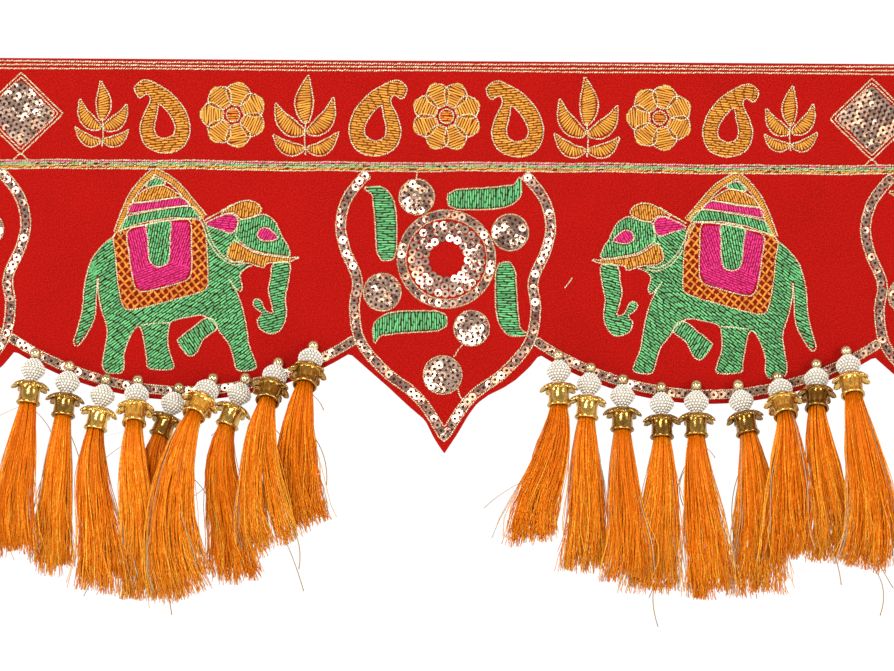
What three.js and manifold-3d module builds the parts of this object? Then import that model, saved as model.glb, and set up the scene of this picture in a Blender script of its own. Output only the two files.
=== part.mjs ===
// A toran: a red cloth valance that hangs over a doorway. Its lower edge is cut into three pointed
// pendants and two shallow scallops. Sequin trims are sewn round the pendants and along the scallops,
// and nine tassels hang from each scallop, each on a gold bead, a pearl bead and a gold flower cap.
// Millimetres. X runs along the cloth, +Z is up, and the worked face looks towards -Y.
// The origin is the middle of the top edge, where the hanging is held.
import * as THREE from "three";
import { mergeVertices } from "three/addons/utils/BufferGeometryUtils.js";
import Module from "manifold-3d";

// Cloth
const PENDANT_PITCH = 256; // centre to centre of neighbouring pendants
const CLOTH_THICKNESS = 1.5;
const CLOTH_ROWS = 4; // bands of faces from the top edge to the hem
const HEADING = 10; // the first of them, which is flat and held
const CLOTH_DROP = 191.7; // top edge to a pendant's tip
const SCALLOP_HALF = 81.7; // half the chord from notch to notch
const SCALLOP_NOTCH_Z = -143;
const SCALLOP_SAG = 23.4;
const SCALLOP_STEPS = 18;

// Sequin trims
const GAP = 0.3; // between neighbouring pieces
const TRIM_THICKNESS = 0.8;
const PENDANT_TRIM_WIDTH = 6.4;
const SCALLOP_TRIM_WIDTH = 4.9;
const SCALLOP_TRIM_INSET = 4.6; // hem to the middle of the trim
const SCALLOP_TRIM_HALF = 80.6; // half its reach along X
const MOST_MITRE = 1.6; // how far a trim may widen at the pendant's tip

// Beads, caps and tassels
const GOLD_RADIUS = 2.65;
const PEARL_RADIUS = 6;
const PEARL_HALF_HEIGHT = 6.4;
const PEARL_CENTRE = 8.4; // below the gold bead's centre
const CAP_TOP = PEARL_CENTRE + PEARL_HALF_HEIGHT + GAP; // below the gold bead's centre
const CAP_RADIUS = 9.1;
const CAP_LENGTH = 10.8;
const CAP_PETALS = 8;
const PETAL_VALLEY = 0.8; // the flange's radius between two petals, as a share of a petal's
const PETAL_DISH = 0.6; // how far the valleys lie above the petals' ridges
const FLANGE_DROOP = 1.3; // from the cap's top to its petals' edge
const CAP_BARREL_RADIUS = 5.3;
const CAP_RIM = 0.6; // how far the rim rolls out
const CAP_SOCKET_RADIUS = 4.8;
const CAP_SOCKET_ROOF = 3.4; // below the cap's top
const HEAD_RADIUS = 4.25;
const HEAD_END = 10; // below the cap's top
const LOCK_START = 9.5; // below the cap's top, inside the tassel's head
const ROOT_HALF_WIDTH = 4;
const FOOT_HALF_DEPTH = 4;
const BOUND_SHARE = 0.06; // of a tassel's length, before it starts to spread
const SPREAD_POWER = 1.15;
const CURVE_PULL = 0.34; // how far a tassel's ends hold their direction, as a share of its length
const LOCK_STEPS = 3;
// The rings of locks in a tassel. The radius and a lock's size are shares of the tassel's half width.
const LOCK_RINGS = [
  { count: 3, radius: 0.28, size: 0.2, turn: 0.4 },
  { count: 8, radius: 0.74, size: 0.26, turn: 0 },
];
const LOCK_TAPER = 0.3; // how much of its size a lock loses by its end
const MOST_CUT_SHORT = 0.07; // how much of its length an uneven lock lacks

// The slow waves of the cloth across its length. They are nothing at the held edge and full at the tips.
const WAVES = [
  { size: 1.1, length: 171, phase: 0.6 },
  { size: 0.6, length: 83, phase: 2.1 },
];

// Half outlines of a pendant's cloth below its notches: distance from its middle, height.
// The two sides were cut by hand, and the right one is hollower.
const PENDANT_LEFT = [
  [46.3, -143], [37.7, -150.5], [27.4, -159.4], [17.9, -168.2], [9.3, -175.5], [4.9, -184.3],
  [0, -CLOTH_DROP],
];
const PENDANT_RIGHT = [
  [0, -CLOTH_DROP], [6.4, -182], [11.7, -172.8], [15.9, -167], [21.6, -162.8], [28.9, -159.2], [34.6, -155.4],
  [41.2, -149.3], [46.3, -143],
];
// The rounded corner where an end of the cloth runs into the outer side of its last pendant.
const END_CORNER = [
  [57, -112], [56.2, -122], [53, -133],
];
// Half of the line that a pendant's trim follows: distance from its middle, height.
const PENDANT_TRIM = [
  [40.2, -57.2], [48.4, -68], [51.2, -80], [49, -92], [42.9, -107], [44.2, -121], [41, -137.3],
  [28.6, -152], [16.4, -161], [8.2, -170], [0, -183.4],
];
const PENDANT_TRIM_STEPS = 17; // on each side

// One row for each tassel of a scallop, from its left end.
// at: the gold bead, from the scallop's middle. rise: its height over the trim. lean: the string of beads
// to the right, in degrees. tip: towards the viewer, in degrees. sweep: how far the foot lies to the right
// of the cap's mouth. bow: how far the middle is pushed to the right. length, flare: the tassel's drop and
// half width at its foot. depth: the foot's place in front of the cloth.
const COLUMNS = ["at", "rise", "lean", "tip", "sweep", "bow", "length", "flare", "depth"];
const TASSELS = {
  left: [
    [-71.1, 0, -6, 15, -6, -1, 77, 10.4, 13],
    [-54.6, 1.5, -5, 17, -5, 0, 79, 8.5, 5],
    [-36.9, 0.8, -10, 15, 4, 1, 80, 12, 13],
    [-21.3, 3.5, -1, 35, 5, 0, 89, 10, 5],
    [-1.2, 1.5, -20, 15, 0, 0, 77, 9.5, -3.5],
    [15.2, 5.5, -24, 40, -3, -6, 90, 13, 13.5],
    [31, 3, -20, 17, 5, 0, 79, 12.4, 5],
    [47, 6.5, -13, 41, 5, -6, 74, 11.8, 13.5],
    [64, 8, -10, 40, 2, -5, 71, 12.2, 5],
  ],
  right: [
    [-72.8, 0, 1, 15, -13, -1, 69, 13, 13.5],
    [-57, 1.5, -5, 15, 2, 0, 76, 11, 5],
    [-41.4, 1.4, -1, 15, 3, 0, 74, 9.5, 13.5],
    [-22.6, 1.8, 0, 17, -3, 1, 77, 12.2, 5],
    [-5.6, 4.4, -1, 17, 7, 0, 79, 10.8, 13.5],
    [14.8, 4, 10, 20, 5.5, 0, 80, 12.6, 5],
    [34.2, 5, 7, 42, 4, -2, 72, 12.2, 13.5],
    [53, 5.5, -3, 32, 10, 1, 76, 10.6, 5],
    [67.4, 5.7, 5, 32, 9, 2, 86, 12.6, 13.5],
  ],
};

const MATERIALS = {
  cloth: new THREE.MeshStandardMaterial({ color: 0xc4151a, roughness: 0.9 }),
  trim: new THREE.MeshStandardMaterial({ color: 0xcbb08c, roughness: 0.35, metalness: 0.6 }),
  beads: new THREE.MeshStandardMaterial({ color: 0xf1ece2, roughness: 0.35 }),
  cap: new THREE.MeshStandardMaterial({ color: 0xc99a3a, roughness: 0.25, metalness: 0.9 }),
  tassel: new THREE.MeshStandardMaterial({ color: 0xf08214, roughness: 0.55 }),
};

const wasm = await Module();
wasm.setup();

const toran = new THREE.Group();
toran.name = "toran";

function addPiece(name, geometry, material) {
  geometry.computeVertexNormals();
  const piece = new THREE.Mesh(geometry, material);
  piece.name = name;
  toran.add(piece);
  return piece;
}

// The geometry with its vertices shared and its collapsed triangles dropped.
function merged(geometry) {
  const bare = geometry.clone();
  bare.deleteAttribute("normal");
  bare.deleteAttribute("uv");
  const shared = mergeVertices(bare, 1e-4);
  const corners = shared.index.array;
  const kept = [];
  for (let i = 0; i < corners.length; i += 3) {
    const [a, b, c] = corners.slice(i, i + 3);
    if (a !== b && b !== c && c !== a) kept.push(a, b, c);
  }
  return shared.setIndex(kept);
}

// Moves each vertex of a geometry: place(point) changes the point that it is given.
function reshape(geometry, place) {
  const shaped = merged(geometry);
  const positions = shaped.getAttribute("position");
  const point = new THREE.Vector3();
  for (let i = 0; i < positions.count; i++) {
    place(point.fromBufferAttribute(positions, i));
    positions.setXYZ(i, point.x, point.y, point.z);
  }
  return shaped;
}

// The Y of the cloth's middle layer.
function clothY(x, z) {
  const wave = WAVES.reduce((sum, w) => sum + w.size * Math.sin((2 * Math.PI * x) / w.length + w.phase), 0);
  return (Math.max(0, -z - HEADING) / (CLOTH_DROP - HEADING)) * wave;
}

function splineThrough(pairs, steps) {
  const curve = new THREE.SplineCurve(pairs.map(([x, z]) => new THREE.Vector2(x, z)));
  return curve.getSpacedPoints(steps);
}

const SCALLOP_RADIUS = (SCALLOP_HALF ** 2 + SCALLOP_SAG ** 2) / (2 * SCALLOP_SAG);
const SCALLOP_CENTRE_Z = SCALLOP_NOTCH_Z - SCALLOP_SAG + SCALLOP_RADIUS;

// The height of a line that runs along a scallop, inset from its hem.
function scallopZ(x, inset) {
  return SCALLOP_CENTRE_Z - Math.sqrt((SCALLOP_RADIUS - inset) ** 2 - x ** 2);
}

// The hem from the left end of the cloth to the right one, as points of growing x.
function hemPoints() {
  const points = [];
  const add = (x, z) => points.push(new THREE.Vector2(x, z));
  const addPendant = (middle, left, right) => {
    left.forEach(([across, z]) => add(middle - across, z));
    right.slice(1).forEach(([across, z]) => add(middle + across, z));
  };
  const addScallop = (middle) => {
    for (let i = 1; i < SCALLOP_STEPS; i++) {
      const x = SCALLOP_HALF * ((2 * i) / SCALLOP_STEPS - 1);
      add(middle + x, scallopZ(x, 0));
    }
  };
  addPendant(-PENDANT_PITCH, [...END_CORNER, ...PENDANT_LEFT], PENDANT_RIGHT);
  addScallop(-PENDANT_PITCH / 2);
  addPendant(0, PENDANT_LEFT, PENDANT_RIGHT);
  addScallop(PENDANT_PITCH / 2);
  addPendant(PENDANT_PITCH, PENDANT_LEFT, [...PENDANT_RIGHT, ...[...END_CORNER].reverse()]);
  return points;
}

// The cloth is a box of one column for each step of the hem, pulled to the cloth's outline and waves.
function clothGeometry() {
  const hem = hemPoints();
  const columns = hem.length - 1;
  const box = new THREE.BoxGeometry(columns, CLOTH_THICKNESS, CLOTH_ROWS, columns, 1, CLOTH_ROWS);
  return reshape(box, (p) => {
    const foot = hem[Math.round(p.x + columns / 2)];
    const row = CLOTH_ROWS / 2 - p.z;
    const below = Math.max(0, row - 1) / (CLOTH_ROWS - 1);
    const z = -HEADING * Math.min(row, 1) + (foot.y + HEADING) * below;
    p.set(foot.x, clothY(foot.x, z) + p.y, z);
  });
}

// A flat ribbon of the given width along a line of points, lying on the worked face of the cloth.
function trimGeometry(line, width) {
  const steps = line.length - 1;
  const across = line.map((_, i) => {
    const before = line[i].clone().sub(line[Math.max(i - 1, 0)]).normalize();
    const after = line[Math.min(i + 1, steps)].clone().sub(line[i]).normalize();
    const along = before.clone().add(after).normalize();
    const side = new THREE.Vector2(-along.y, along.x);
    const fit = Math.max(along.dot(i ? before : after), 1 / MOST_MITRE);
    return side.multiplyScalar(1 / fit);
  });
  const box = new THREE.BoxGeometry(steps, TRIM_THICKNESS, width, steps, 1, 1);
  const front = CLOTH_THICKNESS / 2 + GAP + TRIM_THICKNESS / 2;
  return reshape(box, (p) => {
    const i = Math.round(p.x + steps / 2);
    const x = line[i].x + across[i].x * p.z;
    const z = line[i].y + across[i].y * p.z;
    p.set(x, clothY(x, z) - front + p.y, z);
  });
}

function pendantTrimLine(middle) {
  const half = splineThrough(PENDANT_TRIM, PENDANT_TRIM_STEPS);
  const left = half.map((p) => new THREE.Vector2(middle - p.x, p.y));
  const right = half.map((p) => new THREE.Vector2(middle + p.x, p.y)).reverse();
  return [...left, ...right.slice(1)];
}

function scallopTrimLine(middle) {
  return Array.from({ length: SCALLOP_STEPS + 1 }, (_, i) => {
    const x = SCALLOP_TRIM_HALF * ((2 * i) / SCALLOP_STEPS - 1);
    return new THREE.Vector2(middle + x, scallopZ(x, SCALLOP_TRIM_INSET));
  });
}

// The gold bead with the pearl bead under it, turned about the string that holds them.
function beadGeometry() {
  const neck = 0.9;
  const profile = [
    [0, GOLD_RADIUS],
    [GOLD_RADIUS * 0.85, GOLD_RADIUS * 0.52],
    [GOLD_RADIUS * 0.88, -GOLD_RADIUS * 0.48],
    [neck, -GOLD_RADIUS * 0.93],
    [PEARL_RADIUS * 0.72, -PEARL_CENTRE + PEARL_HALF_HEIGHT * 0.62],
    [PEARL_RADIUS, -PEARL_CENTRE],
    [PEARL_RADIUS * 0.72, -PEARL_CENTRE - PEARL_HALF_HEIGHT * 0.62],
    [0, -PEARL_CENTRE - PEARL_HALF_HEIGHT],
  ];
  return latheOf(profile, 8);
}

function latheOf(profile, sides) {
  const points = profile.map(([radius, height]) => new THREE.Vector2(radius, height)).reverse();
  return merged(new THREE.LatheGeometry(points, sides));
}

// The flower cap: petals that droop from its top, a barrel with a rolled rim, and a socket for the tassel.
function capGeometry() {
  const petalFrom = (CAP_BARREL_RADIUS + CAP_RADIUS) / 2;
  const profile = [
    [0, 0],
    [CAP_RADIUS, -FLANGE_DROOP],
    [CAP_RADIUS - 0.4, -FLANGE_DROOP - 0.7],
    [CAP_BARREL_RADIUS, -FLANGE_DROOP * 2],
    [CAP_BARREL_RADIUS, -CAP_LENGTH + CAP_RIM * 2],
    [CAP_BARREL_RADIUS + CAP_RIM, -CAP_LENGTH],
    [CAP_SOCKET_RADIUS, -CAP_LENGTH],
    [CAP_SOCKET_RADIUS, -CAP_SOCKET_ROOF],
    [0, -CAP_SOCKET_ROOF],
  ];
  return reshape(latheOf(profile, CAP_PETALS * 2), (p) => {
    const radius = Math.hypot(p.x, p.z);
    if (radius < petalFrom) return;
    const petal = (1 + Math.cos(Math.atan2(p.z, p.x) * CAP_PETALS)) / 2;
    const share = PETAL_VALLEY + (1 - PETAL_VALLEY) * petal;
    p.set(p.x * share, p.y + (1 - petal) * PETAL_DISH, p.z * share);
  });
}

// Where one tassel hangs: its gold bead, the direction of its string, and its foot.
function hangOf(row, scallopMiddle) {
  const t = Object.fromEntries(COLUMNS.map((name, i) => [name, row[i]]));
  const lean = THREE.MathUtils.degToRad(t.lean);
  const tip = THREE.MathUtils.degToRad(t.tip);
  const down = new THREE.Vector3(
    Math.sin(lean) * Math.cos(tip),
    -Math.sin(tip),
    -Math.cos(lean) * Math.cos(tip),
  );
  const x = scallopMiddle + t.at;
  const z = scallopZ(t.at, SCALLOP_TRIM_INSET) + t.rise;
  const overTrim = t.rise < SCALLOP_TRIM_WIDTH / 2 + GOLD_RADIUS - GAP;
  const seat = CLOTH_THICKNESS / 2 + (overTrim ? GAP + TRIM_THICKNESS : 0);
  const gold = new THREE.Vector3(x, clothY(x, z) - seat - GAP - GOLD_RADIUS, z);
  const capTop = gold.clone().addScaledVector(down, CAP_TOP);
  const mouth = capTop.clone().addScaledVector(down, CAP_LENGTH);
  const foot = new THREE.Vector3(mouth.x + t.sweep, clothY(mouth.x, mouth.z) - t.depth, mouth.z - t.length);
  return { ...t, down, gold, capTop, mouth, foot };
}

// The middle line of a tassel, from inside its head to its foot.
function tasselCurve(hang) {
  const pull = hang.length * CURVE_PULL;
  const start = hang.capTop.clone().addScaledVector(hang.down, LOCK_START);
  const below = start.clone().addScaledVector(hang.down, pull);
  const above = hang.foot.clone().add(new THREE.Vector3(0, 0, pull));
  above.x += 2 * hang.bow;
  return new THREE.CubicBezierCurve3(start, below, above, hang.foot);
}

// A place in the tassel at share t of its length: u and v run from -1 to 1 across it and through it.
function bundlePoint(hang, curve, t, u, v) {
  const middle = curve.getPoint(t);
  const along = curve.getTangent(t);
  const across = new THREE.Vector3(1, 0, 0).addScaledVector(along, -along.x).normalize();
  const through = new THREE.Vector3().crossVectors(along, across);
  const spread = Math.max(0, (t - BOUND_SHARE) / (1 - BOUND_SHARE));
  const halfWidth = ROOT_HALF_WIDTH + (hang.flare - ROOT_HALF_WIDTH) * spread ** SPREAD_POWER;
  const halfDepth = ROOT_HALF_WIDTH + (FOOT_HALF_DEPTH - ROOT_HALF_WIDTH) * spread;
  return middle.addScaledVector(across, u * halfWidth).addScaledVector(through, v * halfDepth);
}

function solidOf(geometry) {
  const shape = merged(geometry);
  return new wasm.Manifold(
    new wasm.Mesh({
      numProp: 3,
      vertProperties: Float32Array.from(shape.getAttribute("position").array),
      triVerts: Uint32Array.from(shape.index.array),
    }),
  );
}

function geometryOf(solid) {
  const mesh = solid.getMesh();
  const geometry = new THREE.BufferGeometry();
  geometry.setAttribute("position", new THREE.BufferAttribute(mesh.vertProperties, 3));
  return geometry.setIndex(new THREE.BufferAttribute(mesh.triVerts, 1));
}

// One three-sided lock, thinner towards its end.
function lockGeometry(hang, curve, ring, angle, end) {
  const stick = new THREE.CylinderGeometry(1, 1, 1, 3, LOCK_STEPS);
  return reshape(stick, (p) => {
    const share = 0.5 - p.y;
    const size = ring.size * (1 - LOCK_TAPER * share);
    const outwards = ring.radius + size * p.z;
    const [cos, sin] = [Math.cos(angle), Math.sin(angle)];
    const u = outwards * cos + size * p.x * sin;
    const v = outwards * sin - size * p.x * cos;
    p.copy(bundlePoint(hang, curve, share * end, u, v));
  });
}

// The locks, fused at their roots into the head that is bound inside the cap.
function tasselGeometry(hang) {
  const curve = tasselCurve(hang);
  const headLength = HEAD_END - CAP_SOCKET_ROOF - GAP;
  const head = new THREE.CylinderGeometry(HEAD_RADIUS, HEAD_RADIUS, headLength, 8);
  const upright = new THREE.Quaternion().setFromUnitVectors(new THREE.Vector3(0, -1, 0), hang.down);
  const headMiddle = hang.capTop.clone().addScaledVector(hang.down, HEAD_END - headLength / 2);
  head.applyQuaternion(upright).translate(headMiddle.x, headMiddle.y, headMiddle.z);
  let solid = solidOf(head);
  for (const ring of LOCK_RINGS) {
    for (let i = 0; i < ring.count; i++) {
      const angle = ring.turn + (2 * Math.PI * i) / ring.count;
      const end = 1 - MOST_CUT_SHORT * Math.sin(hang.at * 3 + angle * 5) ** 2;
      solid = solid.add(solidOf(lockGeometry(hang, curve, ring, angle, end)));
    }
  }
  return geometryOf(solid);
}

function addTassel(hang, label) {
  const upright = new THREE.Quaternion().setFromUnitVectors(new THREE.Vector3(0, -1, 0), hang.down);
  const beads = addPiece(`beads_${label}`, beadGeometry(), MATERIALS.beads);
  beads.position.copy(hang.gold);
  beads.quaternion.copy(upright);
  const cap = addPiece(`cap_${label}`, capGeometry(), MATERIALS.cap);
  cap.position.copy(hang.capTop);
  cap.quaternion.copy(upright);
  addPiece(`tassel_${label}`, tasselGeometry(hang), MATERIALS.tassel);
}

addPiece("cloth", clothGeometry(), MATERIALS.cloth);
for (const [side, place] of [["left", -1], ["middle", 0], ["right", 1]]) {
  const line = pendantTrimLine(place * PENDANT_PITCH);
  addPiece(`pendant_trim_${side}`, trimGeometry(line, PENDANT_TRIM_WIDTH), MATERIALS.trim);
}
for (const [side, rows] of Object.entries(TASSELS)) {
  const middle = (side === "left" ? -1 : 1) * (PENDANT_PITCH / 2);
  addPiece(`scallop_trim_${side}`, trimGeometry(scallopTrimLine(middle), SCALLOP_TRIM_WIDTH), MATERIALS.trim);
  rows.forEach((row, i) => addTassel(hangOf(row, middle), `${side}_${i + 1}`));
}

export default toran;
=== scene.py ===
# %% [markdown]
# # A toran, the embroidered hanging over an Indian doorway
# The real thing is a red cotton valance with a firm backing. Gold thread, silk stitches and sequins are
# worked on its face, and eighteen tassels hang from its two scallops on strings of beads. Nearly all of it
# is small things that repeat, so each small thing is modelled once and then copied to its places.

# %% Load the frame
import math

import bpy
import numpy as np
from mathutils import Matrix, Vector


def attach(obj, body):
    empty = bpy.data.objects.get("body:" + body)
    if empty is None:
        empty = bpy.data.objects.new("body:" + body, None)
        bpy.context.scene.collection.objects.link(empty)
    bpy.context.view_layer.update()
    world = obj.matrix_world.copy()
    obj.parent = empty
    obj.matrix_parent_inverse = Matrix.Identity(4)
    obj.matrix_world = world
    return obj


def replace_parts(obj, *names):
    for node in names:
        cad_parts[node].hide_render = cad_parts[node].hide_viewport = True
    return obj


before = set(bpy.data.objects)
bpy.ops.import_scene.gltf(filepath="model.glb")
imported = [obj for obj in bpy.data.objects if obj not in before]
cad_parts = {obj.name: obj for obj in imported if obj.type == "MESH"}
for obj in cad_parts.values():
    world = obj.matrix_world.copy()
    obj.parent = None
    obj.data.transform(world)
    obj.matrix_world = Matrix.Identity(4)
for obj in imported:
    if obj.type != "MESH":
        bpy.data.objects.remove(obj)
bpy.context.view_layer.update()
MM = 0.001
rng = np.random.default_rng(11)
print("solids in the frame:", len(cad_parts))

# %% [markdown]
# ## The camera and the light
# The photograph looks straight at the face from a good distance, and crops both ends of the cloth. Gold and
# sequins show what they reflect, so the light is five square soft boxes round the camera, the strongest of
# them above to the left. The sky in front of the cloth stays dim between them.

# %% Camera
PHOTO_WIDTH = 894 * (0.488 * MM)  # pixels, and the size of one at the cloth
PHOTO_MIDDLE_X, PHOTO_MIDDLE_Z, PHOTO_ROLL = 0.001, -0.1339, -0.4
VIEW_DISTANCE = 1.6
FILM_WIDTH = 36
camera = bpy.data.objects.new("camera", bpy.data.cameras.new("camera"))
camera.data.sensor_width = FILM_WIDTH
camera.data.lens = FILM_WIDTH * VIEW_DISTANCE / PHOTO_WIDTH
camera.location = (PHOTO_MIDDLE_X, -VIEW_DISTANCE, PHOTO_MIDDLE_Z)
camera.rotation_euler = (math.pi / 2, math.radians(PHOTO_ROLL), 0)
bpy.context.scene.collection.objects.link(camera)
bpy.context.scene.camera = camera
bpy.context.scene.view_settings.view_transform = "Standard"
print("lens of", round(camera.data.lens, 1), "mm")

# %% Lights and sky
# name, place, side in metres, power in watts and colour
SOFT_BOXES = [
    ("key_light", (-0.5, -1.5, 0.62), 0.42, 16, (1, 1, 1)),
    ("front_light", (-0.22, -1.75, 0.12), 0.45, 8, (1, 1, 1)),
    ("side_light", (1.15, -1.0, 0.15), 0.5, 8, (1, 1, 1)),
    ("far_light", (-1.3, -0.7, -0.1), 0.4, 6, (1, 1, 1)),
    ("warm_light", (0.55, -1.55, -0.55), 0.45, 2.5, (1, 0.8, 0.6)),
]
LIT_MIDDLE = Vector((0, 0, -0.13))
for name, place, side, watts, colour in SOFT_BOXES:
    lamp = bpy.data.lights.new(name, "AREA")
    lamp.shape, lamp.size, lamp.energy, lamp.color = "SQUARE", side, watts, colour
    box = bpy.data.objects.new(name, lamp)
    box.location = place
    box.rotation_euler = (LIT_MIDDLE - Vector(place)).to_track_quat("-Z", "Y").to_euler()
    bpy.context.scene.collection.objects.link(box)

# The sky is grey in front of the cloth and white behind it, and the camera sees it white everywhere.
world = bpy.data.worlds.new("studio")
bpy.context.scene.world = world
world.use_nodes = True
sky = world.node_tree
SKY_NODES = ("LightPath", "TexCoord", "SeparateXYZ", "MapRange", "Math")
path, way, split, ramp, white = (sky.nodes.new("ShaderNode" + kind) for kind in SKY_NODES)
white.operation = "MAXIMUM"
for socket, value in (("From Min", -0.35), ("From Max", 0.1), ("To Min", 0.32), ("To Max", 1.05)):
    ramp.inputs[socket].default_value = value
sky.links.new(way.outputs["Generated"], split.inputs[0])
sky.links.new(split.outputs["Y"], ramp.inputs[0])
sky.links.new(ramp.outputs[0], white.inputs[0])
sky.links.new(path.outputs["Is Camera Ray"], white.inputs[1])
sky.links.new(white.outputs[0], sky.nodes["Background"].inputs[0])
print(len(SOFT_BOXES), "soft boxes under a plain sky")

# %% [markdown]
# ## Writing shader maths as sums
# A finish is easier to read as an expression than as a list of links. One small class stands for an output
# of a node, and adding or multiplying it adds the Math node that does so. One more class makes any other
# node from its type, its settings and its sockets.


# %% A shader's outputs and nodes
class Output:
    def __init__(self, finish, socket):
        self.finish, self.socket = finish, socket

    def sum(self, operation, first, *others):
        return self.finish.node("Math", {"operation": operation}, dict(enumerate((first, *others))))

    def __add__(self, other):
        return self.sum("ADD", self, other)

    def __sub__(self, other):
        return self.sum("SUBTRACT", self, other)

    def __rsub__(self, other):
        return self.sum("SUBTRACT", other, self)

    def __mul__(self, other):
        return self.sum("MULTIPLY", self, other)

    def __pow__(self, other):
        return self.sum("POWER", self, other)

    __radd__, __rmul__ = __add__, __mul__

    def sine(self):
        return self.sum("SINE", self)

    def size(self):
        return self.sum("ABSOLUTE", self)

    def held(self):
        return self.finish.node("Clamp", {}, {"Value": self})


class Finish:
    def __init__(self, name, **fixed):
        self.material = bpy.data.materials.new(name)
        self.material.use_nodes = True
        self.nodes = self.material.node_tree.nodes
        self.shader = self.nodes["Principled BSDF"]
        for socket, value in fixed.items():
            self.shader.inputs[socket.replace("_", " ")].default_value = value

    def node(self, kind, settings, sockets, output=0):
        made = self.nodes.new("ShaderNode" + kind)
        for setting, value in settings.items():
            setattr(made, setting, value)
        for socket, value in sockets.items():
            self.feed(made.inputs[socket], value)
        return Output(self, made.outputs[output])

    def feed(self, socket, value):
        if isinstance(value, Output):
            self.material.node_tree.links.new(value.socket, socket)
        elif isinstance(value, tuple) and len(value) == 3 and socket.type == "RGBA":
            socket.default_value = (*value, 1)
        else:
            socket.default_value = value

    def mix(self, share, first, second):
        return self.node("Mix", {"data_type": "RGBA"}, {0: share, 6: first, 7: second}, 2)

    def ramp(self, share, stops):
        made = self.node("ValToRGB", {}, {"Fac": share})
        elements = made.socket.node.color_ramp.elements
        for i, (place, colour) in enumerate(stops):
            stop = elements[i] if i < 2 else elements.new(place)
            stop.position, stop.color = place, (*colour, 1)
        return made

    def map(self):
        """The place on the UV map, and its two coordinates."""
        place = self.node("UVMap", {"uv_map": "thread"}, {})
        first = self.node("SeparateXYZ", {}, {0: place})
        return place, first, Output(self, first.socket.node.outputs["Y"])

    def shade(self):
        return self.node("Attribute", {"attribute_name": "shade"}, {}, "Fac")

    def noise(self, scale, detail=2, place=None):
        place = place or self.node("TexCoord", {}, {}, "Object")
        return self.node("TexNoise", {}, {"Vector": place, "Scale": scale, "Detail": detail})

    def bump(self, height, distance):
        return self.node("Bump", {}, {"Height": height, "Distance": distance, "Strength": 1.0}, "Normal")

    def finish(self, **sockets):
        for socket, value in sockets.items():
            self.feed(self.shader.inputs[socket.replace("_", " ")], value)
        return self.material


print("shader helpers ready")

# %% [markdown]
# ## The finishes
# Art silk and cotton thread are bundles of fine strands. A stitch's colour is painted with shade between
# its strands and along its two sides, and with a highlight on top; the tassels' silk is painted with short
# glints. Gold thread, sequins and gilt caps shine as metal, and differ by roughness and by how warm they
# are. Every copied thread and sequin carries a number of its own, its shade, which keeps neighbours from
# looking alike.

# %% Plain woven red cotton
THREADS_PER_MM = 11.0
CIRCLE = 6.283


def red_cotton():
    f = Finish("red_cotton", Roughness=0.9, Specular_IOR_Level=0.03)
    place, across, down = f.map()
    wander = f.noise(0.9, 3, place)
    warp = (across * THREADS_PER_MM + wander * 5.0).sine()
    weft = (down * THREADS_PER_MM + wander * 5.0).sine()
    weave = warp * weft * 0.5 + 0.5
    cloudy = f.noise(0.035, 4, place)
    fleck = f.noise(1.6, 2, place)
    deep = f.mix((cloudy * 1.6 - 0.3).held(), (0.25, 0.003, 0.002), (0.32, 0.004, 0.003))
    colour = f.mix((weave * 0.35 + fleck * 3.0 - 1.4).held(), deep, (0.52, 0.012, 0.007))
    return f.finish(Base_Color=colour, Normal=f.bump(weave + fleck * 1.2, 0.00012))


# %% Silk and cotton thread
STRANDS = 3.3  # side by side in a stitch


def thread(name, light, dark):
    f = Finish(name, Roughness=0.42, Specular_IOR_Level=0.35)
    place, _, across = f.map()
    # Painted shade: the colour is darkest between the strands and at the stitch's two sides, and lightest on
    # the strands' tops, a painted highlight.
    strand = ((across * (STRANDS * CIRCLE) + f.noise(0.6, 1, place) * 2.0).sine() * 0.5 + 0.5) ** 0.6
    painted_side_shade = ((across.size() * 1.9) ** 5).held()
    tone = (f.shade() * 0.5 + strand * 0.3 + 0.25 - painted_side_shade * 0.9).held()
    return f.finish(Base_Color=f.mix(tone, dark, light), Normal=f.bump(strand, 0.00012))


def silk(name, stops):
    f = Finish(name, Roughness=0.4, Specular_IOR_Level=0.10)
    place, along, across = f.map()
    twist = (along * 7.0 + across * CIRCLE).sine() * 0.5 + 0.5
    # Painted highlights: short glints along each thread lift the colour towards the ramp's pale golden top.
    # The tone also grows lighter towards the foot.
    painted_glints = f.noise(0.75, 2, place)
    tone = (f.shade() * 0.55 + painted_glints * 2.1 - 0.86 + twist * 0.06 - along * 0.0035).held()
    return f.finish(Base_Color=f.ramp(tone, stops), Normal=f.bump(twist, 0.00004))


def plain(name, light, dark):
    f = Finish(name, Roughness=0.9, Specular_IOR_Level=0.1)
    return f.finish(Base_Color=f.mix(f.noise(700, 2), dark, light))


# %% Metal thread, sequins and gilding
def metal(name, light, dark, roughness, grain=2.0, pearly=0.0, metallic=0.9):
    f = Finish(name, Metallic=metallic, Specular_IOR_Level=0.5)
    place, _, _ = f.map()
    speck = f.noise(grain, 3, place)
    tone = (f.shade() * 0.85 + speck * 0.5 - 0.2).held()
    colour = f.mix(tone, dark, light)
    if pearly:
        blush = f.mix((f.shade() * 7.3).sine() * 0.5 + 0.5, (0.95, 0.72, 0.62), (0.98, 0.93, 0.78))
        colour = f.mix(pearly, colour, blush)
    rough = speck * 0.12 + (roughness - 0.06)
    return f.finish(Base_Color=colour, Roughness=rough, Normal=f.bump(speck, 0.00006))


def pearl():
    f = Finish("pearl_nubs", Coat_Weight=0.5, Coat_Roughness=0.12, Subsurface_Weight=0.1)
    f.finish(Subsurface_Radius=(0.002, 0.0016, 0.0012))
    blush = f.mix(f.shade(), (0.68, 0.62, 0.51), (0.89, 0.87, 0.79))
    return f.finish(Base_Color=blush, Roughness=f.noise(900, 2) * 0.2 + 0.15)


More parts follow.
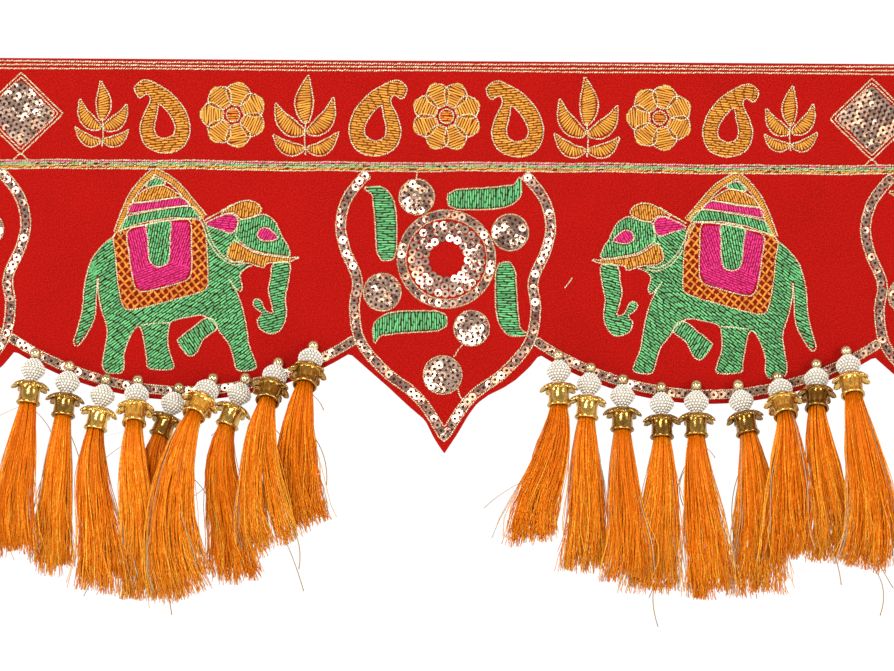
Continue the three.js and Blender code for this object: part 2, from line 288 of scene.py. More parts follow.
# %% Every material, each with its light and its dark colour
COTTON = red_cotton()
SILK = {
    "green": thread("green_silk", (0.20, 0.78, 0.29), (0.012, 0.065, 0.016)),
    "pink": thread("pink_silk", (0.98, 0.040, 0.30), (0.30, 0.004, 0.05)),
    "orange": thread("orange_silk", (1.0, 0.37, 0.030), (0.36, 0.060, 0.004)),
    "yellow": thread("yellow_silk", (1.0, 0.47, 0.055), (0.40, 0.12, 0.010)),
}
# The padding's colours, far darker than the thread, are partly its own and partly painted shade for the gaps
# between stitches.
UNDERLAY_AND_SHADE = {
    "green": plain("green_underlay", (0.060, 0.012, 0.006), (0.010, 0.008, 0.004)),
    "pink": plain("pink_underlay", (0.40, 0.008, 0.07), (0.20, 0.003, 0.03)),
    "orange": plain("orange_underlay", (0.26, 0.016, 0.003), (0.12, 0.005, 0.002)),
    "yellow": plain("yellow_underlay", (0.22, 0.050, 0.004), (0.12, 0.018, 0.002)),
}
TASSEL_STOPS = [(0.0, (0.63, 0.110, 0.001)), (1.0, (1.0, 0.56, 0.060)), (0.5, (0.87, 0.208, 0.001))]
TASSEL = silk("tassel_silk", TASSEL_STOPS)
# Grey silk for a few outer threads: painted shadow beside the tassels.
GREY_SILK_SHADOW = silk("faded_silk", [(0.0, (0.36, 0.26, 0.17)), (1.0, (0.62, 0.49, 0.34))])
# Dark thread in the sequins' holes, made darker as painted shade in each hole; it also colours the ring of
# painted shade under each gold bead.
DARK_THREAD_AND_SHADE = plain("sequin_thread", (0.07, 0.014, 0.008), (0.03, 0.007, 0.004))
WISP = plain("loose_thread", (0.50, 0.27, 0.035), (0.20, 0.09, 0.012))
ZARI = metal("gold_thread", (1.0, 0.91, 0.62), (0.44, 0.30, 0.11), 0.42, metallic=0.4)
SEQUIN = metal("champagne_sequin", (0.68, 0.47, 0.34), (0.24, 0.11, 0.075), 0.16, 1.2, 0.12)
GILT = metal("gilt_cap", (0.86, 0.54, 0.13), (0.28, 0.13, 0.02), 0.17, 0.9)
GOLD_BEAD = metal("pale_gold_bead", (0.96, 0.80, 0.46), (0.62, 0.46, 0.22), 0.10, 0.4)
PEARL = pearl()
PEARL_CORE_AND_SHADE = plain("pearl_core", (0.52, 0.46, 0.37), (0.36, 0.31, 0.25))
print(len(bpy.data.materials), "materials")

# %% [markdown]
# ## Small forms, modelled once
# A sequin, a grain of gold thread or a bead is modelled as a mesh with a few faces, in millimetres. Its
# points and faces are then kept as plain tables of numbers, so that a thousand copies are one sum and not a
# thousand objects.


# %% Adding a primitive and picking points by place
def start(kind, **settings):
    bpy.ops.object.select_all(action="DESELECT")
    getattr(bpy.ops.mesh, f"primitive_{kind}_add")(**settings)
    bpy.ops.object.transform_apply(location=True, rotation=True, scale=True)
    return bpy.context.object


def pick(obj, test=lambda point: True):
    bpy.ops.object.mode_set(mode="EDIT")
    bpy.ops.mesh.select_mode(type="VERT")
    bpy.ops.mesh.select_all(action="DESELECT")
    bpy.ops.object.mode_set(mode="OBJECT")
    for point in obj.data.vertices:
        point.select = bool(test(point.co))
    bpy.ops.object.mode_set(mode="EDIT")


def grow(x, y, z):
    """Scales the picked points about the origin."""
    bpy.ops.transform.resize(value=(x, y, z), center_override=(0, 0, 0))


def done(obj):
    bpy.ops.mesh.select_all(action="SELECT")
    bpy.ops.mesh.normals_make_consistent(inside=False)
    bpy.ops.object.mode_set(mode="OBJECT")
    return obj


def numbers(items, field, width=1, kind=float):
    """One property of a mesh's points, corners or faces, as a table."""
    values = np.empty(len(items) * width, kind)
    items.foreach_get(field, values)
    return values.reshape(-1, width) if width > 1 else values


class Form:
    """A modelled piece as tables: its points, its faces' corners and each corner's place on the UV map."""

    def __init__(self, obj, uv=None):
        mesh = obj.data
        self.points = numbers(mesh.vertices, "co", 3)
        self.corners = numbers(mesh.loops, "vertex_index", kind=int)
        self.sizes = numbers(mesh.polygons, "loop_total", kind=int)
        self.uv = uv(self.points)[self.corners] if uv else self.points[self.corners][:, :2]
        bpy.data.objects.remove(obj)
        print("  form with", len(self.sizes), "faces")


# %% [markdown]
# A grain of gold thread is one turn of a metal strip round its core. It is a five-sided spindle, drawn out
# from one cone to a second point. A satin stitch is a flat strand with a rounded back that dives into the
# cloth at both ends, so a block has its ends drawn out to low points.

# %% Grain and stitch
GRAIN_RADIUS, GRAIN_HALF = 0.43, 0.85
BLOCK_SHARE, BACK_SHARE = 0.68, 0.6  # of a stitch's length, and of its width
DIVE_OUT, DIVE_DOWN = 0.18, -0.25

grain = start("cone", vertices=5, radius1=GRAIN_RADIUS, radius2=0, depth=GRAIN_HALF,
              location=(0, 0, GRAIN_HALF / 2), end_fill_type="NOTHING")
pick(grain, lambda p: p.z < 0.01)
bpy.ops.mesh.extrude_edges_move(TRANSFORM_OT_translate={"value": (0, 0, -GRAIN_HALF)})
bpy.ops.mesh.merge(type="CENTER")
bpy.ops.mesh.select_all(action="SELECT")
bpy.ops.transform.rotate(value=math.pi / 2, orient_axis="Y", center_override=(0, 0, 0))
GRAIN = Form(done(grain))

stitch = start("cube", size=1)
pick(stitch)
grow(BLOCK_SHARE, 1, 1)
for side in (-1, 1):
    pick(stitch, lambda p: p.x * side > 0.3)
    bpy.ops.mesh.extrude_region_move(TRANSFORM_OT_translate={"value": (side * DIVE_OUT, 0, DIVE_DOWN)})
    bpy.ops.mesh.merge(type="CENTER")
pick(stitch, lambda p: p.z > 0.05)
bpy.ops.transform.resize(value=(1, BACK_SHARE, 1))
pick(stitch)
bpy.ops.transform.translate(value=(0, 0, 0.5))
STITCH = Form(done(stitch))

# %% [markdown]
# Under the silk lies a padding of darker thread that shows between the stitches. It is coloured darker
# still, as painted shade in the gaps. Its rows are flat blocks with their tops drawn in.

# %% Padding
pad = start("cube", size=1)
pick(pad, lambda p: p.z > 0)
bpy.ops.transform.resize(value=(0.96, 0.8, 1))
pick(pad)
bpy.ops.transform.translate(value=(0, 0, 0.5))
PAD = Form(done(pad))

# %% [markdown]
# A sequin is a thin metallised cup with a hole, flat in the middle and faceted at the rim. A torus with
# three points round its ring, flattened and with its hole drawn in, is just that. The pearl's nub is a
# small ball with a flat underside, and the gold bead a ball that is flattened at both ends of its hole.

# %% Sequin, nub and gold bead
SEQUIN_RING, SEQUIN_RIM, SEQUIN_THINNESS = 1.15, 0.76, 0.06
NUB_RADIUS, GOLD_BALL = 0.75, 2.75

sequin = start("torus", major_radius=SEQUIN_RING, minor_radius=SEQUIN_RIM, major_segments=11,
               minor_segments=3)
pick(sequin)
grow(1, 1, SEQUIN_THINNESS)
pick(sequin, lambda p: p.xy.length < 0.9)
grow(0.93, 0.93, 1)
SEQUIN_FORM = Form(done(sequin))

nub = start("uv_sphere", segments=6, ring_count=3, radius=NUB_RADIUS)
pick(nub, lambda p: p.z < -0.1)
grow(1, 1, 0.3)
NUB = Form(done(nub))

ball = start("uv_sphere", segments=16, ring_count=10, radius=GOLD_BALL)
pick(ball, lambda p: abs(p.z) > 2.7)
grow(1, 1, 0.8)
BALL = Form(done(ball))

# %% [markdown]
# ## The basket
# The basket gathers copies of the forms and writes them as one mesh. Everything on the cloth is first drawn
# flat: x and z on the cloth's face, and a height above it. Laying it down turns that into a place in the
# room, on the waves of the hanging cloth.

# %% The hanging cloth's waves
HEADING, DROP, FACE = 10.0, 191.7, 0.75  # flat strip at the top, whole height, half the cloth's thickness
WAVES = [(1.1, 171, 0.6), (0.6, 83, 2.1)]  # size, length and phase
PUCKER = 0.05


def cloth_y(x, z):
    low = np.maximum(0, -z - HEADING) / (DROP - HEADING)
    swing = sum(size * np.sin(2 * np.pi * x / length + phase) for size, length, phase in WAVES)
    pucker = PUCKER * np.sin(x / 4.1 + 2 * np.sin(z / 7.3)) * np.sin(z / 3.7 + np.sin(x / 9.1))
    return low * swing + np.minimum(1, low * 12) * pucker


def cloth_lean(x, z):
    """How the pull of the sewing tips small things, alike for neighbours."""
    across = np.sin(x / 7.1 + 1.4 * np.sin(z / 9.3) + 0.6)
    return np.stack([across, np.sin(z / 6.3 + 1.6 * np.sin(x / 8.7))], 1)


# %% Gathering copies and making one piece of them
UV_SPREAD = (40, 0)  # how far apart copies lie on the UV map


class Basket:
    def __init__(self):
        self.count = 0
        self.points, self.corners, self.sizes, self.uv, self.shade, self.kind = [], [], [], [], [], []

    def add(self, form, points, shade, kind=0, uv_scale=None):
        """Adds copies of a form, as one table of points for each. Kind is the number of their material."""
        n, k, _ = points.shape
        starts = self.count + k * np.arange(n)[:, None]
        self.points.append(points.reshape(-1, 3))
        self.corners.append((form.corners[None] + starts).ravel())
        self.sizes.append(np.tile(form.sizes, n))
        uv = np.tile(form.uv, (n, 1)).reshape(n, len(form.corners), 2)
        if uv_scale is not None:
            uv = uv * uv_scale[:, None, :]
        uv = uv + rng.random((n, 1, 2)) * UV_SPREAD
        self.uv.append(uv.reshape(-1, 2))
        self.shade.append(np.repeat(shade, k))
        self.kind.append(np.full(n * len(form.sizes), kind))
        self.count += n * k

    def lay(self, form, x, z, angle, size, lift, kind=0, shade=None, tilt=0.0, droop=0.0):
        """Copies a form flat on the cloth. Each copy is turned by its angle and scaled by its size."""
        n = len(x)
        size = np.broadcast_to(np.asarray(size, float), (n, 3))
        local = form.points[None] * size[:, None]
        lean = tilt * (0.6 * rng.normal(size=(n, 2)) + cloth_lean(x, z)) if tilt else np.zeros((n, 2))
        lean[:, 1] += droop
        cos, sin = np.cos(angle)[:, None], np.sin(angle)[:, None]
        px = x[:, None] + local[..., 0] * cos - local[..., 1] * sin
        pz = z[:, None] + local[..., 0] * sin + local[..., 1] * cos
        height = lift + local[..., 2] + local[..., 0] * lean[:, :1] + local[..., 1] * lean[:, 1:]
        points = np.stack([px, cloth_y(px, pz) - FACE - height, pz], 2)
        shade = rng.random(n) if shade is None else shade
        self.add(form, points, shade, kind, size[:, :2] if form is STITCH else None)

    def make(self, name, *materials, smooth=True, slot="cloth"):
        mesh = bpy.data.meshes.new(name)
        points = np.concatenate(self.points) * MM
        corners, sizes = np.concatenate(self.corners), np.concatenate(self.sizes)
        kind = np.concatenate(self.kind)
        mesh.vertices.add(len(points))
        mesh.vertices.foreach_set("co", points.ravel())
        mesh.loops.add(len(corners))
        mesh.loops.foreach_set("vertex_index", corners)
        mesh.polygons.add(len(sizes))
        mesh.polygons.foreach_set("loop_start", np.concatenate([[0], np.cumsum(sizes)[:-1]]))
        for material in materials:
            mesh.materials.append(material)
        mesh.polygons.foreach_set("material_index", kind)
        soft = np.isin(kind, [i for i, m in enumerate(materials) if m != SEQUIN])
        mesh.polygons.foreach_set("use_smooth", soft & smooth)
        mesh.update(calc_edges=True)
        mesh.uv_layers.new(name="thread").data.foreach_set("uv", np.concatenate(self.uv).ravel())
        mesh.attributes.new("shade", "FLOAT", "POINT").data.foreach_set("value", np.concatenate(self.shade))
        obj = bpy.data.objects.new(name, mesh)
        bpy.context.scene.collection.objects.link(obj)
        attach(obj, "root")
        print(f"  {name}: {int((sizes - 2).sum())} triangles")
        return obj


# %% [markdown]
# ## Drawing on the cloth
# Lines are drawn through a few points and smoothed. Grains of gold thread follow a line one after another,
# each slanting a little across it. A shape is filled with satin stitches in rows, cut into short lengths
# that are staggered like bricks, which is how an embroiderer keeps long rows from snagging.


# %% Smooth lines, even steps and lines beside them
def smooth(points, closed=False, steps=8):
    p = np.asarray(points, float)
    p = np.vstack([p[-1:], p, p[:2]]) if closed else np.vstack([2 * p[0] - p[1], p, 2 * p[-1] - p[-2]])
    t = (np.arange(steps) / steps)[None, :, None]
    a, b, c, d = (q[:, None] for q in (p[:-3], p[1:-2], p[2:-1], p[3:]))
    bent = 0.5 * (2 * b + (c - a) * t + (2 * a - 5 * b + 4 * c - d) * t**2 + (3 * b - a - 3 * c + d) * t**3)
    bent = bent.reshape(-1, 2)
    return bent if closed else np.vstack([bent, p[-2]])


def loop(points):
    return np.vstack([points, points[:1]])


def lengths_along(line):
    return np.concatenate([[0], np.cumsum(np.hypot(*np.diff(line, axis=0).T))])


def paced(line, pitch, near=0.4):
    """Even steps along a line: the places and the direction at each."""
    far = lengths_along(line)
    n = max(2, int(round(far[-1] / pitch)))
    at = (np.arange(n) + 0.5) * far[-1] / n
    x, z = np.interp(at, far, line[:, 0]), np.interp(at, far, line[:, 1])
    dx, dz = (np.interp(at + near, far, p) - np.interp(at - near, far, p) for p in line.T)
    return x, z, np.arctan2(dz, dx)


def beside(line, distance):
    """The same line, moved sideways to its left."""
    d = np.gradient(line, axis=0)
    d /= np.maximum(np.hypot(*d.T), 1e-9)[:, None]
    return line + distance * np.stack([-d[:, 1], d[:, 0]], 1)


def circle(x, z, radius, turns):
    a = np.linspace(0, 2 * np.pi, turns + 1)
    return np.stack([x + radius * np.cos(a), z + radius * np.sin(a)], 1)


# %% Rows of stitches
SHORTEST_ROW, LONGEST_BED, NEAREST_JOINT, MOST_JOINTS = 0.9, 8, 1.3, 59
STAGGER = 0.37  # how far each row's joints move on, as a share of a stitch
OVERLAP = 0.1


def spans(ring, v):
    """Where the level v runs inside a closed outline, as pairs of places."""
    a, b = ring, np.roll(ring, -1, axis=0)
    crossing = (a[:, 1] > v) != (b[:, 1] > v)
    a, b = a[crossing], b[crossing]
    u = np.sort(a[:, 0] + (v - a[:, 1]) * (b[:, 0] - a[:, 0]) / (b[:, 1] - a[:, 1]))
    return list(zip(u[::2], u[1::2]))


def without(kept, cut):
    """What is left of some spans after others are taken out."""
    for c, d in cut:
        left = []
        for a, b in kept:
            left += [(a, min(b, c))] if a < c else []
            left += [(max(a, d), b)] if b > d else []
        kept = left
    return kept


def satin(outline, lie, pitch=1.2, reach=5.2, holes=(), inset=0.5, width=None):
    """Rows that lie at an angle in degrees: x, z, angle, length and width of each stitch, and of its bed."""
    turn = math.radians(lie)
    cos, sin = math.cos(turn), math.sin(turn)

    def level(points):
        p = np.asarray(points, float)
        return np.stack([p[:, 0] * cos + p[:, 1] * sin, p[:, 1] * cos - p[:, 0] * sin], 1)

    def slanted(rows, width):
        u, v, skew, length = np.array(rows).T
        width = np.full(len(u), width)
        return np.stack([u * cos - v * sin, u * sin + v * cos, turn + skew, length, width], 1)

    ring, cuts = level(outline), [level(hole) for hole in holes]
    rows, beds = [], []
    for i, v in enumerate(np.arange(ring[:, 1].min() + pitch / 2, ring[:, 1].max(), pitch)):
        kept = spans(ring, v)
        for cut in cuts:
            kept = without(kept, spans(cut, v))
        for a, b in kept:
            a, b = a + inset, b - inset
            if b - a < SHORTEST_ROW:
                continue
            cells = math.ceil((b - a) / LONGEST_BED)
            beds += [(a + (b - a) * (k + 0.5) / cells, v, 0, (b - a) / cells + OVERLAP) for k in range(cells)]
            joints = a - reach * ((i * STAGGER) % 1) + reach * np.arange(1, MOST_JOINTS + 1)
            joints = joints + rng.normal(0, 0.3, MOST_JOINTS)
            joints = joints[(joints > a + NEAREST_JOINT) & (joints < b - NEAREST_JOINT)]
            ends = np.concatenate([[a], joints, [b]])
            for c, d in zip(ends[:-1], ends[1:]):
                rows.append(((c + d) / 2, v + rng.normal(0, 0.09), rng.normal(0, 0.06), d - c + OVERLAP))
    return slanted(rows, width or pitch * 0.76), slanted(beds, pitch * 1.15)


def rungs(spine, half, pitch=1.2, slant=0.0):
    """Stitches straight across a spine, as long as the shape is wide there."""
    x, z, angle = paced(spine, pitch)
    place = (np.arange(len(x)) + 0.5) / len(x)
    wide = np.interp(place, np.linspace(0, 1, len(half)), half)
    keep = wide > 0.5
    n = keep.sum()
    across = angle[keep] + math.pi / 2 + math.radians(slant) + rng.normal(0, 0.05, n)
    rows = np.stack([x[keep], z[keep], across, 2 * wide[keep] - 0.3, np.full(n, pitch * 0.85)], 1)
    return rows, rows * (1, 1, 1, 0.92, 1.5)


def ribbon(spine, half):
    """The outline of a shape from its spine and its half width along it."""
    wide = np.interp(np.linspace(0, 1, len(spine)), np.linspace(0, 1, len(half)), half)[:, None]
    left = beside(spine, 1.0) - spine
    return np.vstack([spine + left * wide, (spine - left * wide)[::-1]])


print("drawing helpers ready")

# %% [markdown]
# ## What is worked on the cloth
# Stitches wait in a list for each colour and gold lines in another, and all are sewn at the end. The drawing
# goes from the top edge down: the heading lines, the band, the frieze with its diamonds and ornaments, the
# three pendants and the two elephants.

# %% Lists of work to sew
COLOURS = ("green", "pink", "orange", "yellow")
sewn, padding_and_shade = {colour: [] for colour in COLOURS}, {colour: [] for colour in COLOURS}
gold_lines = []
sequins = []


def sew(colour, work, lift=0.0):
    stitches, beds = work
    sewn[colour].append(np.column_stack([stitches, np.full(len(stitches), lift)]))
    padding_and_shade[colour].append(beds)


def gold(line, lift=0.3, dull=0.0):
    gold_lines.append((np.asarray(line, float), lift, dull))


def scatter(x, z, droop=0.0):
    sequins.append(np.stack([x, z, np.full(len(x), droop)], 1))


# %% Heading lines and the band
HALF_LENGTH = 312.2
HEADING_LINES = (-1.5, -3.2, -4.9)
BAND = -51.6
BAND_GOLD = ((-2.1, 0.3, 0.0), (1.9, 0.35, 0.1), (0.8, 0.4, 0.35), (-0.45, 0.4, 0.3))  # place, lift, dulness
BAND_SILK = (("pink", 1.3, 0.45), ("green", 0.15, 0.15), ("yellow", -1.2, 0.15))  # place, share left bare

x = np.linspace(-HALF_LENGTH, HALF_LENGTH, 400)
for z in HEADING_LINES:
    gold(np.stack([x, z + 0.15 * np.sin(x / 23 + z)], 1))
band_x = np.linspace(-HALF_LENGTH, HALF_LENGTH, 500)
band_z = BAND + 0.25 * np.sin(band_x / 31) + 0.15 * np.sin(band_x / 11)
for drop, lift, dull in BAND_GOLD:
    wander = 0.12 * np.sin(band_x / 5.3 + 3 * drop)
    gold(np.stack([band_x, band_z + drop + wander], 1), lift, dull)
for colour, drop, bare in BAND_SILK:
    x, z, angle = paced(np.stack([band_x, band_z + drop], 1), 1.9)
    n = len(x)
    rows = np.stack([x, z + rng.normal(0, 0.2, n), angle + 0.25, np.full(n, 2.3), np.full(n, 0.85)], 1)
    shown = rng.random(n) > bare
    sew(colour, (rows[shown], rows[::2] * (1, 1, 1, 1.5, 1.3)), 0.05)
print("three heading lines, and a band of four gold lines with three broken rows of silk")

# %% [markdown]
# The frieze has a sequin diamond at either end. Its middle is worked in golden silk with flowers, mangoes
# and sprigs, the stock ornaments of such hangings, each outlined in gold and mirrored about the middle.

# %% Diamonds
FRIEZE = -27
DIAMOND_X, DIAMOND_DROOP = 207.5, 0.19
DIAMOND_PITCH = 2.55


def diamond(x, z, half_x, half_z):
    corners = np.array([(x, z + half_z), (x + half_x, z), (x, z - half_z), (x - half_x, z)], float)
    rounded = []
    for before, here, after in zip(np.roll(corners, 1, axis=0), corners, np.roll(corners, -1, axis=0)):
        back, on = before - here, after - here
        rounded += [here + back * 0.07, here + back * 0.015, here + on * 0.07]
    return loop(np.array(rounded))


for side in (-1, 1):
    middle = DIAMOND_X * side
    gold(diamond(middle, FRIEZE, 20.5, 20))
    gold(diamond(middle, FRIEZE, 18.3, 17.8))
    i, j = np.meshgrid(np.arange(-8, 9), np.arange(-8, 9))
    a, b = (i * DIAMOND_PITCH).ravel(), (j * DIAMOND_PITCH + (i % 2) * 1.3).ravel()
    x, z = (a - b) * 0.707, (a + b) * 0.68
    inside = np.abs(x) / 16.6 + np.abs(z) / 16.2 < 1
    scatter(middle + x[inside], FRIEZE + z[inside], DIAMOND_DROOP)
    gold(smooth([(middle - 3.4, -49.6), (middle, -46.8), (middle + 3.4, -49.6)]))
print("two diamonds of", int(inside.sum()), "sequins")

# %% Frieze ornaments
PETAL = np.array([0.34, 0.62, 0.86, 1, 0.98, 0.78, 0.3])
LEAFLET = np.array([0.3, 0.8, 1, 0.98, 0.8, 0.45, 0.1])
MANGO = [(0, -17), (8, -14.5), (11.5, -7), (9.5, 2), (3.5, 9.5), (-2.5, 13.5), (-9, 16), (-13.5, 12.5),
         (-11.5, 8), (-8, 9.5), (-6.5, 6.5), (-9.5, 0), (-11, -7), (-8, -14)]
MANGO_HEART = [(0, -10.5), (4.2, -8.5), (4.6, -4), (1.5, 1.5), (-2.4, 5), (-3.4, 0.5), (-4.6, -5), (-3.6, -9)]
# each leaf's spine and half width
SPRIG = [([(0, -4), (1, 4), (0.5, 11), (-1, 19)], 4.6),
         ([(-1, -9), (-7, -6), (-11.5, 0), (-13.5, 8)], 4.2),
         ([(1, -9), (7, -7), (12, -2), (15, 5)], 4.2),
         ([(-1, -17), (-7, -17.5), (-12, -14), (-16, -9)], 3.4),
         ([(1, -17), (7, -17.5), (12, -15), (16, -10.5)], 3.4)]


def blossom(x, z, radius, petals):
    for k in range(petals):
        turn = 2 * math.pi * (k + 0.5) / petals
        out = np.array([math.cos(turn), math.sin(turn)])
        spine = np.array([(x, z) + out * r for r in np.linspace(radius * 0.3, radius, 12)])
        half = radius * math.sin(math.pi / petals) * 0.86 * PETAL
        sew("yellow", rungs(spine, half - 0.5))
        gold(loop(smooth(ribbon(spine[::2], half), closed=True, steps=3)))
    gold(circle(x, z, radius * 0.2, 16), 0.45)
    sew("orange", satin(circle(x, z, radius * 0.19, 16), 0, inset=0.1))


def mango(x, z, side, size):
    outer, inner = (
        smooth([(x + side * u * size, z + v * size) for u, v in shape], closed=True)
        for shape in (MANGO, MANGO_HEART)
    )
    sew("yellow", satin(outer, 6 * side, reach=4.6, holes=[inner]))
    gold(loop(outer))
    gold(loop(inner))


def sprig(x, z, side, size):
    for spine, wide in SPRIG:
        spine = smooth([(x + side * u * size, z + v * size) for u, v in spine])
        half = wide * size * LEAFLET
        sew("yellow", rungs(spine, half - 0.35, slant=12))
        gold(loop(smooth(ribbon(spine[::3], half), closed=True, steps=3)))
    gold(smooth([(x, z - 20.5 * size), (x + side * 0.6, z - 12 * size), (x, z - 3 * size)]), 0.4)


blossom(0, -27, 17.5, 8)
for side in (-1, 1):
    mango(34.5 * side, -27.5, side, 1.12)
    sprig(68.5 * side, -26.5, side, 0.98)
    blossom(104 * side, -27, 16.5, 7)
    mango(137.5 * side, -27.5, -side, 1.08)
    sprig(168 * side, -26.5, -side, 0.8)
print("frieze of three blossoms, four mangoes and four sprigs")

# %% [markdown]
# Each pendant carries a ring of sequins inside a wider one, five round patches of sequins and four curled
# leaves that turn round the ring like a pinwheel. The leaves are one shape in four turns, and are green on
# the middle pendant and orange on the others.

# %% Pendants
PENDANTS = {"left": -256, "middle": 0, "right": 256}
LEAF_SPINE = smooth([(0.6, 0), (5, 0.5), (14, 0.8), (22, 1.2), (28.5, 2.3), (32.8, 4.6), (34.6, 7.8),
                     (35.4, 11.4)])
LEAF_HALF = np.array([2.4, 4.8, 5.2, 5.3, 5.1, 4.0, 1.7, 0.3])
# each leaf's stem and the way that it points, and each roundel's middle and radius
LEAVES = [((0.5, -68.0), (1, 0)), ((28.8, -97.6), (0, -1)), ((1.2, -126.3), (-1, 0)),
          ((-28.2, -97.9), (0, 1))]
ROUNDELS = [(-14.2, -66.4, 8.8), (31.5, -83.4, 9.1), (-30.7, -113, 9.3), (13, -130.3, 8.8), (-1, -153.2, 9.6)]
RING_X, RING_Z = 0.5, -96.6
RING_GOLD, RING_SEQUINS = (23.9, 19.8), (10.3, 13.7, 17.0, 21.85)


def ring_of_sequins(x, z, radius, pitch=3.6):
    n = int(2 * math.pi * radius / pitch)
    a = np.arange(n) * 2 * math.pi / n + rng.random()
    scatter(x + radius * np.cos(a), z + radius * np.sin(a))


def pendant_work(middle, leaf_colour):
    for radius in RING_GOLD:
        gold(circle(middle + RING_X, RING_Z, radius, 72), dull=0.25)
    for radius in RING_SEQUINS:
        ring_of_sequins(middle + RING_X, RING_Z, radius)
    for u, v, radius in ROUNDELS:
        gold(circle(middle + u, v, radius - 0.2, 40), dull=0.2)
        for row in (radius - 2.3, radius - 4.6, radius - 6.8):
            ring_of_sequins(middle + u, v, row, 2.75)
        scatter(np.array([middle + u]), np.array([v]))
    for (u, v), (c, s) in LEAVES:
        p = ribbon(LEAF_SPINE[::4], LEAF_HALF)
        leaf = np.stack([middle + u + p[:, 0] * c - p[:, 1] * s, v + p[:, 0] * s + p[:, 1] * c], 1)
        edge = smooth(leaf, closed=True, steps=3)
        sew(leaf_colour, satin(edge, 90 + math.degrees(math.atan2(s, c)), 1.15, 6.6))
        gold(loop(edge), dull=0.15)
    gold(smooth([(middle + 6.5, -159.6), (middle + 7.4, -163.2), (middle + 9.6, -166.3)]))
    gold([(middle - 14.4, -57.6), (middle - 14.2, -54)], dull=0.2)
    gold([(middle + 8.6, -138.2), (middle + 6.4, -141), (middle + 4.2, -144.6)], dull=0.2)


for middle, colour in zip(PENDANTS.values(), ("orange", "green", "orange")):
    pendant_work(middle, colour)
gold([(58.2, -110.6), (62.1, -105.3)])  # a stray end beside the middle pendant
print("three pendants worked")

# %% [markdown]
# An elephant walks over each scallop with a small canopy on its back, and the two face each other. The body
# is one outline whose rows of green stitches lean forwards. Its rug is left out of the fill and worked in
# pink, with a green tongue and a border laced with orange crosses.

# %% Elephants
SCALLOPS = {"left": -128, "right": 128}
# the outline from the hind foot to the breast, which the body's fill and its gold line share
LEGS = [(-41.4, -113), (-39.6, -122.5), (-36.8, -132), (-37.6, -140), (-39, -148.5), (-37.6, -152.6),
        (-33, -153.6), (-29.4, -152.8), (-28.4, -149), (-28.5, -144), (-26, -136.4), (-22.6, -131),
        (-20.4, -131.4), (-18.9, -137), (-17.4, -146), (-16.6, -150.6), (-10, -151.6), (-4.8, -151),
        (-4.4, -148.4), (-7, -140), (-6.8, -132), (-5, -127.9), (2.5, -125.8), (10, -125),
        (15.6, -129), (18.4, -133.4), (22.8, -139), (25.2, -146.5), (26.8, -151.3), (31.5, -151.8),
        (35.6, -150.6), (35.8, -148), (32.6, -139.5), (31, -129.5), (28.8, -120)]


